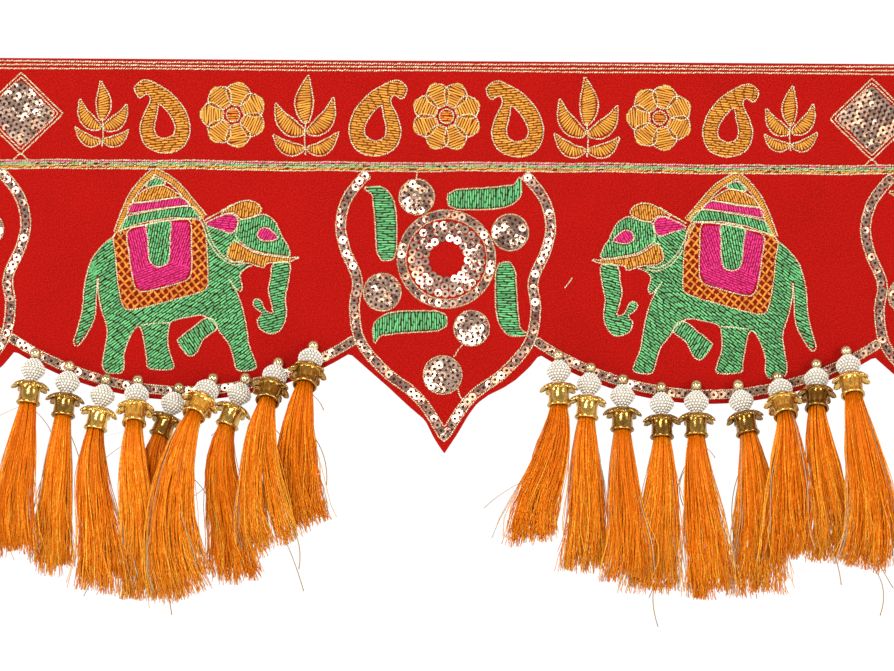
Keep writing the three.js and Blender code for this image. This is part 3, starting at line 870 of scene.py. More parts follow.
def elephant(middle, side):
    def at(points):
        return np.array([(middle + side * u, v) for u, v in points], float)

    def ring(points, steps=6):
        return smooth(at(points), closed=True, steps=steps)

    def rows(outline, lie, pitch, reach, **more):
        return satin(outline, lie if side > 0 else 180 - lie, pitch, reach, **more)

    def shape(colour, points, lie, pitch=1.15, reach=4, **more):
        sew(colour, rows(ring(points), lie, pitch, reach, **more))
        gold(loop(ring(points)), 0.4)

    def line(points, lift=0.4, steps=8, slip=0.0):
        drawn = smooth(at(points), steps=steps)
        gold(beside(drawn, slip) if slip else drawn, lift)

    # body, tail and the gold lines round them
    rug = ring([(-33, -85), (-33, -96), (-31.6, -110), (-29.4, -120), (-26, -122.4), (-18, -121),
                (-6, -117.8), (7, -114), (11.6, -111.5), (12.2, -106), (11.9, -96), (10.9, -85.5),
                (7.6, -78.5), (-6, -78.6), (-18, -80.8)])
    field = ring([(-27, -84), (-26.2, -96), (-24.6, -107), (-22.6, -112.4), (-18, -113.4), (-6, -110.4),
                  (2, -107.6), (4.2, -103), (4.1, -91), (3, -78.6), (-6, -78.6), (-17.5, -80.8)])
    rump = [(-32, -86), (-36.5, -88.6), (-40.4, -92.3), (-44.6, -98.6), (-46.4, -104.2), (-41.5, -107)]
    breast = [(26.4, -113.4), (26.4, -112.2), (28.6, -112.4), (28.8, -109.6), (27.8, -105.2), (30, -102.2),
              (33, -100), (24.4, -98.4), (21.6, -95), (24, -88.6), (24, -85.6), (18.4, -83.2), (11, -80.6),
              (0, -84), (-20, -88)]
    sew("green", rows(ring(rump + LEGS + breast, 5), 36, 1.2, 3.9, holes=[rug]))
    line([(-33, -86), (-36.5, -88.6), (-40.4, -92.3), (-45, -99), (-48, -110.5), (-48.9, -122), (-51, -131),
          (-53, -137.6), (-52.2, -140), (-50.4, -139.6), (-46.6, -134.4), (-43, -126.4), (-42.2, -116),
          (-41.8, -107.2)], steps=6)
    tail = ring([(-44.6, -98.6), (-48, -111), (-48.9, -122), (-51, -131), (-52.6, -137.6), (-51.4, -139.2),
                 (-46.8, -133.8), (-43, -126), (-42.2, -116), (-41.7, -107), (-41, -101)], 5)
    sew("green", rows(tail, 28, 1.2, 4.4))
    sew("green", rows(at([(21.8, -84), (27.6, -84), (28.4, -89.6), (23.6, -90)]), 60, 1.2, 3))
    line([(-41.2, -107)] + LEGS + [(26, -113), (22.4, -107)], steps=6)
    line([(22.4, -107), (26.4, -112.2), (28.6, -112.4), (28.8, -109.6), (27.8, -105.2), (30, -102.2),
          (34, -100.4)], 0.5)
    line([(-20.2, -129.8), (-13, -129), (-6.5, -128.6)], 0.7)
    shape("green", [(11, -126.4), (15, -127.2), (16.6, -131.4), (10.4, -136.4), (7, -143), (3.4, -144.8),
                    (0, -141.4), (-2.2, -137.6), (-1.4, -136), (4.4, -131.4)], -58, 1.2, 5)
    # head with a hole for the eye, trunk, eye, ear, headdress and tusk
    eye_hole = ring([(36, -85), (38.2, -82.2), (41.6, -82.2), (46.2, -86.8), (41.4, -88.6), (37.4, -87.6)], 8)
    shape("green", [(27.6, -78.4), (33.6, -77), (39.2, -75.4), (44.2, -78.4), (47, -83.4), (48.6, -87),
                    (51.2, -91), (51.8, -95.6), (44.4, -95.2), (34.4, -93), (28, -88.8), (25.8, -86),
                    (26.4, -82)], 84, reach=3.4, holes=[eye_hole])
    shape("green", [(44.2, -99.4), (51.8, -99.2), (51.6, -107.6), (50, -116), (50.6, -124.4), (48.2, -131),
                    (43.8, -133.6), (38.2, -131.6), (36.6, -127.2), (38.6, -123.8), (36.4, -121.8),
                    (34.4, -119.4), (35.2, -117), (38, -117.6), (40.6, -122.4), (44, -123.4), (43, -118),
                    (41.8, -112.6), (42.8, -106.6)], 14, 1.2, 4.6)
    shape("pink", [(36.2, -85), (38.2, -82.3), (41.6, -82.3), (46.2, -86.8), (41.6, -88.5), (37.4, -87.6)],
          62, 1.1, inset=0.3)
    shape("pink", [(11, -80.4), (18.2, -76.4), (23.6, -75.3), (26.4, -77.8), (26, -82.2), (23.2, -84.8),
                   (18.4, -83.2)], -6, reach=3.4)
    shape("yellow", [(18.5, -75.2), (25.2, -70.4), (31, -68.7), (36, -70.2), (38, -73.2), (35.2, -76.1),
                     (28.6, -77.8), (24.4, -74.9)], 82)
    shape("yellow", [(24.4, -88.4), (27.8, -90), (34.4, -93.8), (44.4, -95.8), (51.6, -96.5), (56.4, -96.4),
                     (51, -98.6), (41.4, -99.2), (39, -101.4), (32, -99.3), (24.4, -98.5), (21.6, -95)],
          78, reach=5)
    # a double line behind the ear, and one over it
    for slip in (0, 1.5):
        line([(7.9, -78), (10.2, -82.4), (11.9, -87.5), (14.8, -92.6), (19.4, -97.6), (24.4, -100.1),
              (30, -99.6)], 0.7, slip=slip)
    line([(10.6, -78.4), (18.5, -74), (24, -70.6)])
    # rug: three pink parts, a green tongue and the laced border
    for lie, part in (
        (104, [(-26.9, -84.2), (-26.1, -96), (-24.6, -106.4), (-16.4, -100.4), (-17.4, -92), (-17.8, -81)]),
        (22, [(-24.6, -105), (-22, -112), (-18, -112.8), (-6, -109.8), (1.6, -107), (3.8, -101.8),
              (-6.2, -98), (-8, -99.9), (-11.4, -101.3), (-16.2, -99.4)]),
        (70, [(-6.2, -79.2), (-6, -90), (-6.8, -99), (3.6, -103), (3.5, -91), (2.6, -79.2)]),
    ):
        sew("pink", rows(at(part), lie, 1.15, 2.3, inset=0.2))
    tongue = ring([(-17.6, -80.4), (-17.2, -88), (-16.7, -96), (-15.2, -100), (-11.4, -101.3), (-7.6, -99.4),
                   (-6.5, -94), (-6.4, -87), (-6.7, -79)], 8)
    sew("green", rows(tongue, 78, 1.2, 2.6))
    gold(tongue, 0.5)
    gold(loop(rug), 0.4)
    gold(loop(field), 0.4)
    for lie, lift in ((42, 0.1), (-52, 0.3)):
        laces, beds = rows(rug, lie, 3.0, 4.2, holes=[field], width=1.25)
        beds[:, 4] = 3.4
        sew("orange", (laces, beds if lie > 0 else beds[:0]), lift)
    # canopy: two orange bars over a green cap, a yellow dome, a pink and a green band
    for bar in ([(-14.4, -54.8), (-19.5, -59.6), (-24.6, -66), (-28.6, -74.5), (-32.4, -85)],
                [(-14.2, -54.8), (-8.6, -57.6), (-3.4, -61.4), (2.8, -68.4), (10.2, -77.2)]):
        sew("yellow", rungs(smooth(at(bar)), np.full(5, 1.4), 1.15, 25))
        for edge in (-1.6, 1.6):
            line(bar, 0.35, slip=edge)
    shape("green", [(-18.4, -62.4), (-14, -57.9), (-8.8, -60.6)], 60, reach=3.4, inset=0.3)
    shape("yellow", [(-24.8, -69.8), (-18.6, -63.8), (-10.4, -61.6), (-3.8, -65), (-1.4, -67),
                     (-12, -68.6)], 70)
    shape("pink", [(-27, -74.4), (-25.6, -70.9), (-14, -69.4), (-2.2, -67.4), (3.4, -70.9), (0, -71.6),
                   (-13, -73.2), (-25, -75.3)], 74)
    shape("green", [(-31.6, -84.2), (-27.8, -77.4), (-24, -76), (-11, -73.4), (3.4, -71.8), (9, -76.8),
                    (2, -77.6), (-7, -77.6), (-19.4, -79.8), (-26.6, -82.2)], 72, 1.2)
    print("elephant over", middle)


elephant(SCALLOPS["left"], 1)
elephant(SCALLOPS["right"], -1)

# %% [markdown]
# ## The cloth
# The cloth is cut to a straight top edge and a hem of pendants and scallops. A grid has one column for each
# step along the hem, and its rows are stretched from the top edge down to it, so the hem is smooth however
# steep it runs. Solidify then gives it the thickness of cotton on its backing.

# %% Hem
PENDANT_LEFT = [(46.3, -143), (37.7, -150.5), (27.4, -159.4), (17.9, -168.2), (9.3, -175.5), (4.9, -184.3),
                (0, -191.7)]
PENDANT_RIGHT = [(0, -191.7), (6.4, -182), (11.7, -172.8), (15.9, -167), (21.6, -162.8), (28.9, -159.2),
                 (34.6, -155.4), (41.2, -149.3), (46.3, -143)]
END_CORNER = [(57, -112), (56.2, -122), (53, -133)]
SCALLOP_HALF, SCALLOP_SAG, NOTCH_Z = 81.7, 23.4, -143
ARC = (SCALLOP_HALF**2 + SCALLOP_SAG**2) / (2 * SCALLOP_SAG)


def scallop_z(x, inset=0.0):
    return NOTCH_Z - SCALLOP_SAG + ARC - np.sqrt((ARC - inset) ** 2 - x**2)


def pendant_hem(middle, left=PENDANT_LEFT, right=PENDANT_RIGHT):
    return [(middle - u, v) for u, v in left] + [(middle + u, v) for u, v in right]


def scallop_hem(middle):
    return [(middle + u, scallop_z(u)) for u in np.linspace(-SCALLOP_HALF, SCALLOP_HALF, 41)[1:-1]]


hem = pendant_hem(PENDANTS["left"], left=END_CORNER + PENDANT_LEFT) + scallop_hem(SCALLOPS["left"])
hem += pendant_hem(PENDANTS["middle"]) + scallop_hem(SCALLOPS["right"])
hem += pendant_hem(PENDANTS["right"], right=PENDANT_RIGHT + END_CORNER[::-1])
hem = np.array([p for i, p in enumerate(hem) if i == 0 or p != hem[i - 1]])
hem_far = lengths_along(hem)
print("hem of", round(hem_far[-1]), "mm")

# %% Cloth sheet
COLUMNS, ROWS = 320, 52
sheet = start("grid", x_subdivisions=COLUMNS, y_subdivisions=ROWS, size=1)
sheet.name = sheet.data.name = "valance"
flat = numbers(sheet.data.vertices, "co", 3)
along = (flat[:, 0] + 0.5) * hem_far[-1]
x = np.interp(along, hem_far, hem[:, 0])
z = np.interp(along, hem_far, hem[:, 1]) * (0.5 - flat[:, 1])
sheet.data.vertices.foreach_set("co", (np.stack([x, cloth_y(x, z), z], 1) * MM).ravel())
order = numbers(sheet.data.loops, "vertex_index", kind=int)
sheet.data.uv_layers[0].name = "thread"
sheet.data.uv_layers[0].data.foreach_set("uv", np.stack([x, z], 1)[order].ravel())
pick(sheet)
done(sheet)
thick = sheet.modifiers.new("backing", "SOLIDIFY")
thick.thickness = 2 * FACE * MM
thick.offset = 0
bpy.ops.object.modifier_apply(modifier="backing")
bpy.ops.object.shade_smooth_by_angle(angle=math.radians(40))
sheet.data.materials.append(COTTON)
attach(sheet, "root")
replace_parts(sheet, "cloth")

# %% [markdown]
# ## Sewing it all on
# Each colour becomes one mesh of stitches, and the gold lines one mesh of grains. The stitches lie on the
# cloth's face and follow its waves.

# %% Stitches
STITCH_LOW, STITCH_MORE, STITCH_SUNK = 0.58, 0.16, 0.1  # least height, the most over it, depth in the cloth
BED_HEIGHT, BED_SUNK = 0.17, 0.05
for colour in COLOURS:
    basket = Basket()
    x, z, angle, length, width, lift = np.concatenate(sewn[colour]).T
    size = np.stack([length, width, STITCH_LOW + STITCH_MORE * rng.random(len(x))], 1)
    basket.lay(STITCH, x, z, angle, size, lift[:, None] - STITCH_SUNK)
    # Beds of padding, dark with painted shade between the stitches.
    x, z, angle, length, width = np.concatenate(padding_and_shade[colour]).T
    basket.lay(PAD, x, z, angle, np.stack([length, width, np.full(len(x), BED_HEIGHT)], 1), -BED_SUNK, 1)
    basket.make("stitches_" + colour, SILK[colour], UNDERLAY_AND_SHADE[colour])

# %% Gold lines
GRAIN_PITCH, GRAIN_SLANT = 1.12, 0.5
GRAIN_SIZE = np.array([1.0, 0.95, 0.85])


def grains(basket, line, lift, dull=0.0):
    x, z, angle = paced(line, GRAIN_PITCH)
    n = len(x)
    size = GRAIN_SIZE * (0.88 + 0.22 * rng.random((n, 1)))
    x, z = x + rng.normal(0, 0.07, n), z + rng.normal(0, 0.07, n)
    angle = angle + GRAIN_SLANT + rng.normal(0, 0.15, n)
    basket.lay(GRAIN, x, z, angle, size, lift, shade=0.3 + 0.7 * rng.random(n) - dull)


basket = Basket()
for line, lift, dull in gold_lines:
    grains(basket, line, lift, dull)
basket.make("gold_lines", ZARI)

# %% Sequins on the field
SEQUIN_TURN = 0.3
SEQUIN_STITCH = (1.6, 1.5, 0.36)


def strew(basket, x, z, kind=0, tilt=0.13, droop=0.0):
    """Sequins, and the dark stitch in the hole of each: its thread, darkened further as painted shade in the
    hole.
    """
    n = len(x)
    x, z = x + rng.normal(0, 0.15, n), z + rng.normal(0, 0.15, n)
    lift = 0.42 + 0.12 * rng.random((n, 1))
    basket.lay(SEQUIN_FORM, x, z, np.full(n, SEQUIN_TURN), (1, 1, 1), lift, kind, tilt=tilt, droop=droop)
    basket.lay(PAD, x, z, rng.random(n), SEQUIN_STITCH, 0.0, kind + 1)


basket = Basket()
x, z, droop = np.concatenate(sequins).T
strew(basket, x, z, droop=droop)
basket.make("sequins", SEQUIN, DARK_THREAD_AND_SHADE, smooth=False)

# %% [markdown]
# ## The trims
# A trim is a row of sequins between two gold lines, along each scallop and round each pendant. Each is a
# mesh of its own, because the trims are made by the metre and sewn on.

# %% Trims
TRIM_HALF = [(38.4, -55.4), (42, -59), (48.4, -68), (51.2, -80), (49, -92), (42.9, -107), (44.2, -121),
             (41, -137.3), (28.6, -152), (16.4, -161), (8.2, -170), (0, -183.4)]
PENDANT_TRIM, SCALLOP_TRIM = 2.75, 2.45  # half widths
SCALLOP_TRIM_REACH, SCALLOP_INSET = 83.4, 4.6
TRIM_PITCH = 3.45


def trim(name, line, half_width):
    basket = Basket()
    reach = half_width - 0.45
    for edge in (-1, 1):
        side = beside(line, edge * reach)
        away = np.hypot(side[:, None, 0] - line[None, :, 0], side[:, None, 1] - line[None, :, 1]).min(axis=1)
        grains(basket, side[away > 0.9 * reach], 0.32)
    for end, inner in ((0, 1), (-1, -2)):
        bowed = line[end] + (line[end] - line[inner]) * 0.4
        grains(basket, smooth([beside(line, reach)[end], bowed, beside(line, -reach)[end]]), 0.34)
    x, z, _ = paced(line, TRIM_PITCH)
    strew(basket, x, z, 1, 0.12)
    made = basket.make(name + "_work", ZARI, SEQUIN, DARK_THREAD_AND_SHADE, slot="trim")
    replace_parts(made, name)


half = smooth(TRIM_HALF, steps=10)
for name, middle in PENDANTS.items():
    trim("pendant_trim_" + name, np.vstack([half * (-1, 1), half[::-1][1:]]) + (middle, 0), PENDANT_TRIM)
x = np.linspace(-SCALLOP_TRIM_REACH, SCALLOP_TRIM_REACH, 93)
for name, middle in SCALLOPS.items():
    trim("scallop_trim_" + name, np.stack([middle + x, scallop_z(x, SCALLOP_INSET)], 1), SCALLOP_TRIM)

# %% [markdown]
# ## The drops
# A drop is a gold bead, a pearl bead, a gilt flower cap and a tassel on one string. It starts at the scallop
# and leans with its neighbours. One table gives each its place on the scallop, its lean, and how its tassel
# hangs, and all four pieces are turned onto that direction.

# %% Where every drop hangs
# place on the scallop, height over its trim, lean and tip in degrees, then the tassel's sweep, bow, length,
# half width at the foot and distance from the cloth
DROPS = {
    "left": [
        (-71.1, 0, -6, 15, -6, -1, 77, 10.4, 13), (-54.6, 1.5, -5, 17, -5, 0, 79, 8.5, 5),
        (-36.9, 0.8, -10, 15, 4, 1, 80, 12, 13), (-21.3, 3.5, -1, 35, 5, 0, 89, 10, 5),
        (-1.2, 1.5, -20, 15, 0, 0, 77, 9.5, -3.5), (15.2, 5.5, -24, 40, -3, -6, 90, 13, 13.5),
        (31, 3, -20, 17, 5, 0, 79, 12.4, 5), (47, 6.5, -13, 41, 5, -6, 74, 11.8, 13.5),
        (64, 8, -10, 40, 2, -5, 71, 12.2, 5),
    ],
    "right": [
        (-72.8, 0, 1, 15, -13, -1, 69, 13, 13.5), (-57, 1.5, -5, 15, 2, 0, 76, 11, 5),
        (-41.4, 1.4, -1, 15, 3, 0, 74, 9.5, 13.5), (-22.6, 1.8, 0, 17, -3, 1, 77, 12.2, 5),
        (-5.6, 4.4, -1, 17, 7, 0, 79, 10.8, 13.5), (14.8, 4, 10, 20, 5.5, 0, 80, 12.6, 5),
        (34.2, 5, 7, 42, 4, -2, 72, 12.2, 13.5), (53, 5.5, -3, 32, 10, 1, 76, 10.6, 5),
        (67.4, 5.7, 5, 32, 9, 2, 86, 12.6, 13.5),
    ],
}
GOLD_R, CAP_TOP, CAP_LENGTH, LOCK_START, PEARL_CENTRE = 2.65, 15.1, 10.8, 9.5, 8.4
GAP, TRIM_SEAT, TRIM_WIDTH = 0.3, 1.1, 4.9
FAINT, BRIGHT = 0.0, 0.2  # how bright the tassels' silk is, by turns


def unit(v):
    return v / np.linalg.norm(v)


class Drop:
    def __init__(self, side, number, row):
        at, rise, lean, tip, sweep, self.bow, length, self.flare, depth = row
        lean, tip = math.radians(lean), math.radians(tip)
        level = math.cos(tip)
        self.down = np.array([math.sin(lean) * level, -math.sin(tip), -math.cos(lean) * level])
        x, z = SCALLOPS[side] + at, scallop_z(at, SCALLOP_INSET) + rise
        seat = FACE + (TRIM_SEAT if rise < TRIM_WIDTH / 2 + GOLD_R - GAP else 0)
        self.gold = np.array([x, cloth_y(x, z) - seat - GAP - GOLD_R, z])
        self.cap_top = self.gold + self.down * CAP_TOP
        mouth = self.cap_top + self.down * CAP_LENGTH
        self.foot = np.array([mouth[0] + sweep, cloth_y(mouth[0], mouth[2]) - depth, mouth[2] - length])
        self.name = f"{side}_{number}"
        self.glow = FAINT if number % 2 else BRIGHT
        self.across = unit(np.array([1.0, 0, 0]) - self.down * self.down[0])
        self.through = np.cross(self.down, self.across)

    def place(self, points, origin):
        """Turns points modelled with +Z up the string onto this drop."""
        x, y, z = points[:, :1], points[:, 1:2], points[:, 2:]
        return origin + x * self.across - y * self.through - z * self.down


drops = [Drop(side, i + 1, row) for side, rows in DROPS.items() for i, row in enumerate(rows)]
print(len(drops), "drops")

# %% [markdown]
# The pearl bead is a wooden or plastic core that is netted with rings of small pearls. The nubs sit in rows,
# each row turned half a nub against the next, on a core that fills the gaps between them. The core is
# coloured darker than the nubs, as painted shade in those gaps.

# %% Beads
CORE_HALF_HEIGHT, NET_HALF_HEIGHT = 5.9, 5.95
ROW_PITCH, NUB_PITCH = 1.4, 1.5
# Where the dark ring of painted shade sits under the gold bead, and its size.
SHADE_RING_BELOW, SHADE_RING_SIZE = 2.7, (2.2, 2.2, 1.0)


def pearl_section(t):
    return 5.6 * (1 - np.abs(t) ** 1.45) ** 0.8


core = start("uv_sphere", segments=18, ring_count=14, radius=1)
for point in core.data.vertices:
    if abs(point.co.z) < 0.999:
        point.co.xy *= float(pearl_section(point.co.z)) / point.co.xy.length
    point.co.z *= CORE_HALF_HEIGHT
pick(core)
CORE = Form(done(core))


def net():
    """The nubs in rings from one end of the core to the other, as one table of points for each."""
    t = np.linspace(-0.97, 0.97, 400)
    section = np.stack([pearl_section(t), NET_HALF_HEIGHT * t], 1)
    far = lengths_along(section)
    slope = np.arctan2(*np.gradient(section, axis=0).T)
    rows = int(far[-1] / ROW_PITCH)
    copies = []
    for row in range(rows + 1):
        at = far[-1] * row / rows
        radius, height, tilt = (np.interp(at, far, values) for values in (*section.T, slope))
        count = max(4, int(2 * math.pi * radius / NUB_PITCH))
        for k in range(count):
            a = 2 * math.pi * (k + 0.5 * (row % 2)) / count
            out = np.array([math.cos(a) * math.cos(tilt), math.sin(a) * math.cos(tilt), -math.sin(tilt)])
            round_it = np.array([-math.sin(a), math.cos(a), 0])
            place = np.array([radius * math.cos(a), radius * math.sin(a), height])
            copies.append(place + NUB.points @ np.stack([round_it, np.cross(out, round_it), out]))
    return copies


NUBS = net()
print(len(NUBS), "nubs on a pearl bead")
for drop in drops:
    basket = Basket()
    basket.add(BALL, drop.place(BALL.points, drop.gold)[None], np.array([rng.random()]), 0)
    middle = drop.gold + drop.down * PEARL_CENTRE
    # The core is darker than the nubs: painted shade in the gaps between them.
    basket.add(CORE, drop.place(CORE.points, middle)[None], np.array([0.0]), 2)
    # Painted shade: a flat dark ring just under the gold bead, where it meets the pearl.
    shade_ring = drop.place(NUB.points * SHADE_RING_SIZE, drop.gold + drop.down * SHADE_RING_BELOW)
    basket.add(NUB, shade_ring[None], np.array([0.0]), 3)
    nubs = np.array([drop.place(points, middle) for points in NUBS])
    basket.add(NUB, nubs, 0.35 + 0.65 * rng.random(len(nubs)), 1)
    made = basket.make("bead_string_" + drop.name, GOLD_BEAD, PEARL, PEARL_CORE_AND_SHADE, DARK_THREAD_AND_SHADE, slot="beads")
    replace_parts(made, "beads_" + drop.name)

# %% [markdown]
# The cap is moulded as a flower with eight ruffled petals over a short barrel with a rolled rim, and coated
# with gold. Its cross-section is spun round the string, and the flange is then drawn in between the petals.

# %% Caps
# radius and height, from the cap's top
CAP_SECTION = [(1.2, -0.3), (3.4, 0), (5.2, 0.05), (6.6, 0), (8.1, -0.3), (9.3, -0.9), (9.7, -1.6),
               (9.3, -2.1), (7.8, -1.3), (6.0, -1.0), (5.2, -1.8), (4.95, -3.6), (5.05, -6.2),
               (5.25, -8.9), (5.85, -9.6), (5.95, -10.3), (5.5, -10.8), (4.85, -10.3), (4.8, -4.2),
               (3.2, -3.4), (1.2, -3.2)]
PETALS = 8
FLANGE_FROM, FLANGE_WIDTH, FLANGE_FOOT = 5.3, 4.4, -2.5
VALLEY_DEPTH, VALLEY_RISE, PETAL_DROOP = 0.4, 1.0, 1.5
ANY_TURN = 6.28


def spun(points, turn):
    """The points' x and y after a turn about the string."""
    cos, sin = np.cos(turn), np.sin(turn)
    return points[..., 0] * cos - points[..., 1] * sin, points[..., 0] * sin + points[..., 1] * cos


def cap_uv(points):
    turn = np.arctan2(points[:, 1], points[:, 0])
    return np.stack([turn * 4, points[:, 2] - np.hypot(points[:, 0], points[:, 1])], 1)


cap_mesh = bpy.data.meshes.new("cap_section")
n = len(CAP_SECTION)
cap_mesh.from_pydata([(r, 0, h) for r, h in CAP_SECTION], [(i, (i + 1) % n) for i in range(n)], [])
cap = bpy.data.objects.new("cap_section", cap_mesh)
bpy.context.scene.collection.objects.link(cap)
bpy.ops.object.select_all(action="DESELECT")
bpy.context.view_layer.objects.active = cap
cap.select_set(True)
pick(cap)
bpy.ops.mesh.spin(steps=PETALS * 6, angle=2 * math.pi, center=(0, 0, 0), axis=(0, 0, 1))
bpy.ops.mesh.remove_doubles(threshold=0.01)
done(cap)
for point in cap.data.vertices:
    radius = point.co.xy.length
    if radius > FLANGE_FROM and point.co.z > FLANGE_FOOT:
        petal = abs(math.cos(math.atan2(point.co.y, point.co.x) * PETALS / 2)) ** 0.6
        out = (radius - FLANGE_FROM) / FLANGE_WIDTH
        point.co.xy *= 1 - (1 - petal) * VALLEY_DEPTH * out
        point.co.z += out * (VALLEY_RISE * (1 - petal) - PETAL_DROOP * petal * out)
CAP = Form(cap, cap_uv)

for drop in drops:
    basket = Basket()
    x, y = spun(CAP.points, rng.random() * ANY_TURN)
    points = drop.place(np.column_stack([x, y, CAP.points[:, 2]]), drop.cap_top)
    basket.add(CAP, points[None], np.array([rng.random()]))
    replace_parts(basket.make("flower_cap_" + drop.name, GILT, slot="cap"), "cap_" + drop.name)

# %% [markdown]
# ## The tassels
# A tassel is a hank of art silk, bound at its head and cut at its foot. Each thread is a copy of one
# three-sided strand that is bent along the tassel's curve. Threads start packed inside the cap and spread
# to the foot, where they end unevenly. A few grey threads at the edges are painted shadow beside the tassel.

# %% One strand
TASSEL_LENGTH = 90


def strand_uv(points):
    turn = np.arctan2(points[:, 1], points[:, 0])
    return np.stack([points[:, 2] * TASSEL_LENGTH, turn / 2.1], 1)


strand = start("cylinder", vertices=3, radius=1, depth=1, end_fill_type="NGON")
pick(strand)
bpy.ops.mesh.select_mode(type="EDGE")
bpy.ops.mesh.select_all(action="DESELECT")
bpy.ops.object.mode_set(mode="OBJECT")
for edge in strand.data.edges:
    a, b = (strand.data.vertices[i].co for i in edge.vertices)
    edge.select = abs(a.z - b.z) > 0.5
bpy.ops.object.mode_set(mode="EDIT")
bpy.ops.mesh.subdivide(number_cuts=8)
STRAND = Form(done(strand), strand_uv)


def bezier(t, *knots):
    n = len(knots) - 1
    return sum(math.comb(n, k) * (1 - t) ** (n - k) * t**k * knot for k, knot in enumerate(knots))


# %% Tassels
THREADS, LOCKS = 370, 13
CURVE_PULL, BOUND_SHARE = 0.34, 0.04
HEAD_HALF, FULLER, HALF_DEPTH = 3.7, 3.2, 4  # half width at the head, extra at the foot, half depth
THREAD_RADIUS = 0.27
QUICK_PACE = 17


def tassel(drop):
    n = THREADS
    # places at the root, and the locks that the threads gather in
    angle, radius = rng.random(n) * 2 * np.pi, np.sqrt(rng.random(n)) ** 0.8
    root_u, root_v = radius * np.cos(angle), radius * np.sin(angle)
    lock_angle, lock_radius = rng.random(LOCKS) * 2 * np.pi, 0.25 + 0.6 * rng.random(LOCKS)
    lock_u, lock_v = lock_radius * np.cos(lock_angle), lock_radius * np.sin(lock_angle)
    away = (root_u[:, None] - lock_u) ** 2 + (root_v[:, None] - lock_v) ** 2
    lock = np.argmin(away + 0.1 * rng.random((n, LOCKS)), axis=1)
    # places at the foot, where the locks have drifted apart and a few threads stray
    foot_u = 0.45 * root_u + 0.5 * lock_u[lock] + rng.normal(0, 0.13, n)
    foot_v = 0.45 * root_v + 0.5 * lock_v[lock] + rng.normal(0, 0.13, n)
    stray = rng.random(n) > 0.8
    foot_u[stray] += rng.normal(0, 0.35, stray.sum())
    foot_u = np.clip(foot_u, -1.15, 1.15)
    end = 1 - 0.11 * rng.random(LOCKS)[lock] - 0.05 * rng.random(n) ** 1.5 - 0.12 * (rng.random(n) > 0.93)
    # the tassel's curve, with the directions across it and through it
    first = drop.cap_top + drop.down * LOCK_START
    pull = CURVE_PULL * np.linalg.norm(drop.foot - first)
    below, above = first + drop.down * pull, drop.foot + np.array([2 * drop.bow, 0, pull])
    t = (0.5 - STRAND.points[None, :, 2]) * end[:, None]
    s = t[..., None]
    middle = bezier(s, first, below, above, drop.foot)
    along = bezier(s, below - first, above - below, drop.foot - above)
    along /= np.linalg.norm(along, axis=2, keepdims=True)
    across = np.array([1.0, 0, 0]) - along * along[..., :1]
    across /= np.linalg.norm(across, axis=2, keepdims=True)
    through = np.cross(along, across)
    # each thread's way from its root to its foot, on slow waves of its lock and quick ones of its own
    spread = np.maximum(0, (t - BOUND_SHARE) / (1 - BOUND_SHARE))
    wide = HEAD_HALF + (drop.flare + FULLER - HEAD_HALF) * spread**0.72
    phase, sway = rng.random((4, n, 1)) * ANY_TURN, rng.normal(0, 0.12, (4, n, 1))
    lock_phase = rng.random((2, LOCKS, 1)) * ANY_TURN

    def sideways(k, root, foot, lock_sway, lock_pace, pace, quick):
        waves = lock_sway * np.sin(t * lock_pace + lock_phase[k][lock])
        waves = waves + sway[k] * np.sin(t * pace + phase[k])
        waves = waves + quick * sway[k + 2] * np.sin(t * QUICK_PACE + phase[k + 2])
        return root[:, None] + (foot - root)[:, None] * spread + spread * waves

    u = sideways(0, root_u, foot_u, 0.10, 7, 9, 0.45)
    v = sideways(1, root_v, foot_v, 0.07, 5, 8, 0.5)
    thick = THREAD_RADIUS * (0.8 + 0.4 * rng.random((n, 1))) * (1 - 0.25 * spread)
    x, y = spun(STRAND.points[None], rng.random((n, 1)) * ANY_TURN)
    u, v = u * wide + x * thick, v * HALF_DEPTH + y * thick
    points = middle + across * u[..., None] + through * v[..., None]
    # Painted shadow: a few outer threads are grey, for the shadow that lies beside a tassel.
    grey_for_shadow = (rng.random(n) > 0.84) & (np.abs(foot_u) > 0.75)
    # Painted highlights: a tenth of the threads get the palest golden shade. The outermost threads get the
    # same pale gold.
    light = (rng.random(n) > 0.9) | (np.abs(foot_u) > 0.95)
    shade = np.where(light, 0.95, drop.glow + 0.65 * rng.random(n))
    basket = Basket()
    basket.add(STRAND, points[~grey_for_shadow], shade[~grey_for_shadow], 0)
    basket.add(STRAND, points[grey_for_shadow], shade[grey_for_shadow], 1)
    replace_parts(basket.make("silk_" + drop.name, TASSEL, GREY_SILK_SHADOW, slot="tassel"), "tassel_" + drop.name)


for drop in drops:
    tassel(drop)

# %% [markdown]
# ## Loose ends
# Hand work leaves ends of thread. A few hang between the tassels in open curves, and short ones stick out
# beside the outlines. Each is the same strand, bent along a curve that starts in a tassel.

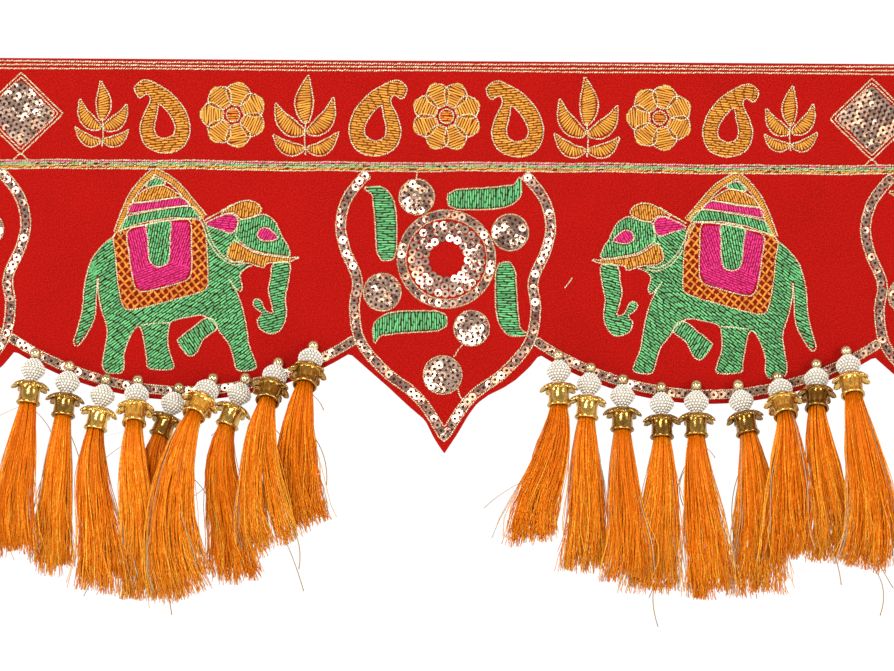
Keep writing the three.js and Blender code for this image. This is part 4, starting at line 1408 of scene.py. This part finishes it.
# %% Loose ends
# drop, distance down its tassel, then the reach across, the bow across and the fall of the end
WISPS = [
    ("right_1", 42, -30, -6, 18), ("right_3", 10, -5, -7, 30), ("right_5", 8, -9, -9, 34),
    ("right_5", 4, 9, 2, 8), ("right_6", 12, -7, -8, 40), ("right_5", 30, 10, 5, 32),
    ("right_4", 70, -3, 3, 18), ("right_9", 66, 14, -4, 30), ("left_2", 52, 8, 4, 26),
    ("left_4", 60, -4, -5, 20), ("left_6", 30, 12, 8, 30), ("left_8", 14, 8, 6, 16),
    ("left_9", 26, 10, 7, 28), ("left_9", 3, 9, 3, 10), ("left_3", 66, -8, 3, 22),
    ("right_7", 8, -6, -6, 22), ("left_1", 1, -24, -6, 14), ("left_1", 2, 13, 5, 18),
    ("left_2", 3, 10, 2, 26), ("left_4", 3, -20, 2, 5), ("left_4", 8, -19, -3, 14), ("left_5", 3, -9, 6, 3),
    ("left_6", 40, 15, 2, -14), ("left_7", 2, -8, -3, 4), ("left_8", 62, 12, 10, 30),
    ("left_8", 70, 14, 2, 34), ("right_4", 84, 2, -3, 20), ("right_9", 84, 6, 8, 26),
    ("right_2", 6, 7, 4, 22), ("right_5", 12, -7, -10, 24), ("right_8", 80, 5, 1, 18),
    ("left_5", 84, 5, 2, 16),
]
WISP_RADIUS = 0.26
basket = Basket()
by_name = {drop.name: drop for drop in drops}
for name, low, reach, bow, fall in WISPS:
    drop = by_name[name]
    root = drop.cap_top + drop.down * LOCK_START
    start_at = root + (drop.foot - root) * (low / TASSEL_LENGTH)
    mid = start_at + (reach * 0.45 + bow, -2.0, -fall * 0.4)
    end_at = start_at + (reach, 1.5, -fall)
    line = bezier(0.5 - STRAND.points[:, 2:], start_at, mid, end_at)
    basket.add(STRAND, (line + STRAND.points * (WISP_RADIUS, WISP_RADIUS, 0))[None], rng.random(1))
basket.make("loose_ends", WISP, slot="tassel")

# %% [markdown]
# ## The floor
# The floor lies below the hanging, where only other views see it.

# %% Floor
floor = start("plane", size=7, location=(0, 0, -0.85))
floor.name = "floor"
paper = Finish("pale_floor", Roughness=0.9)
floor.data.materials.append(paper.finish(Base_Color=(0.86, 0.86, 0.86, 1)))
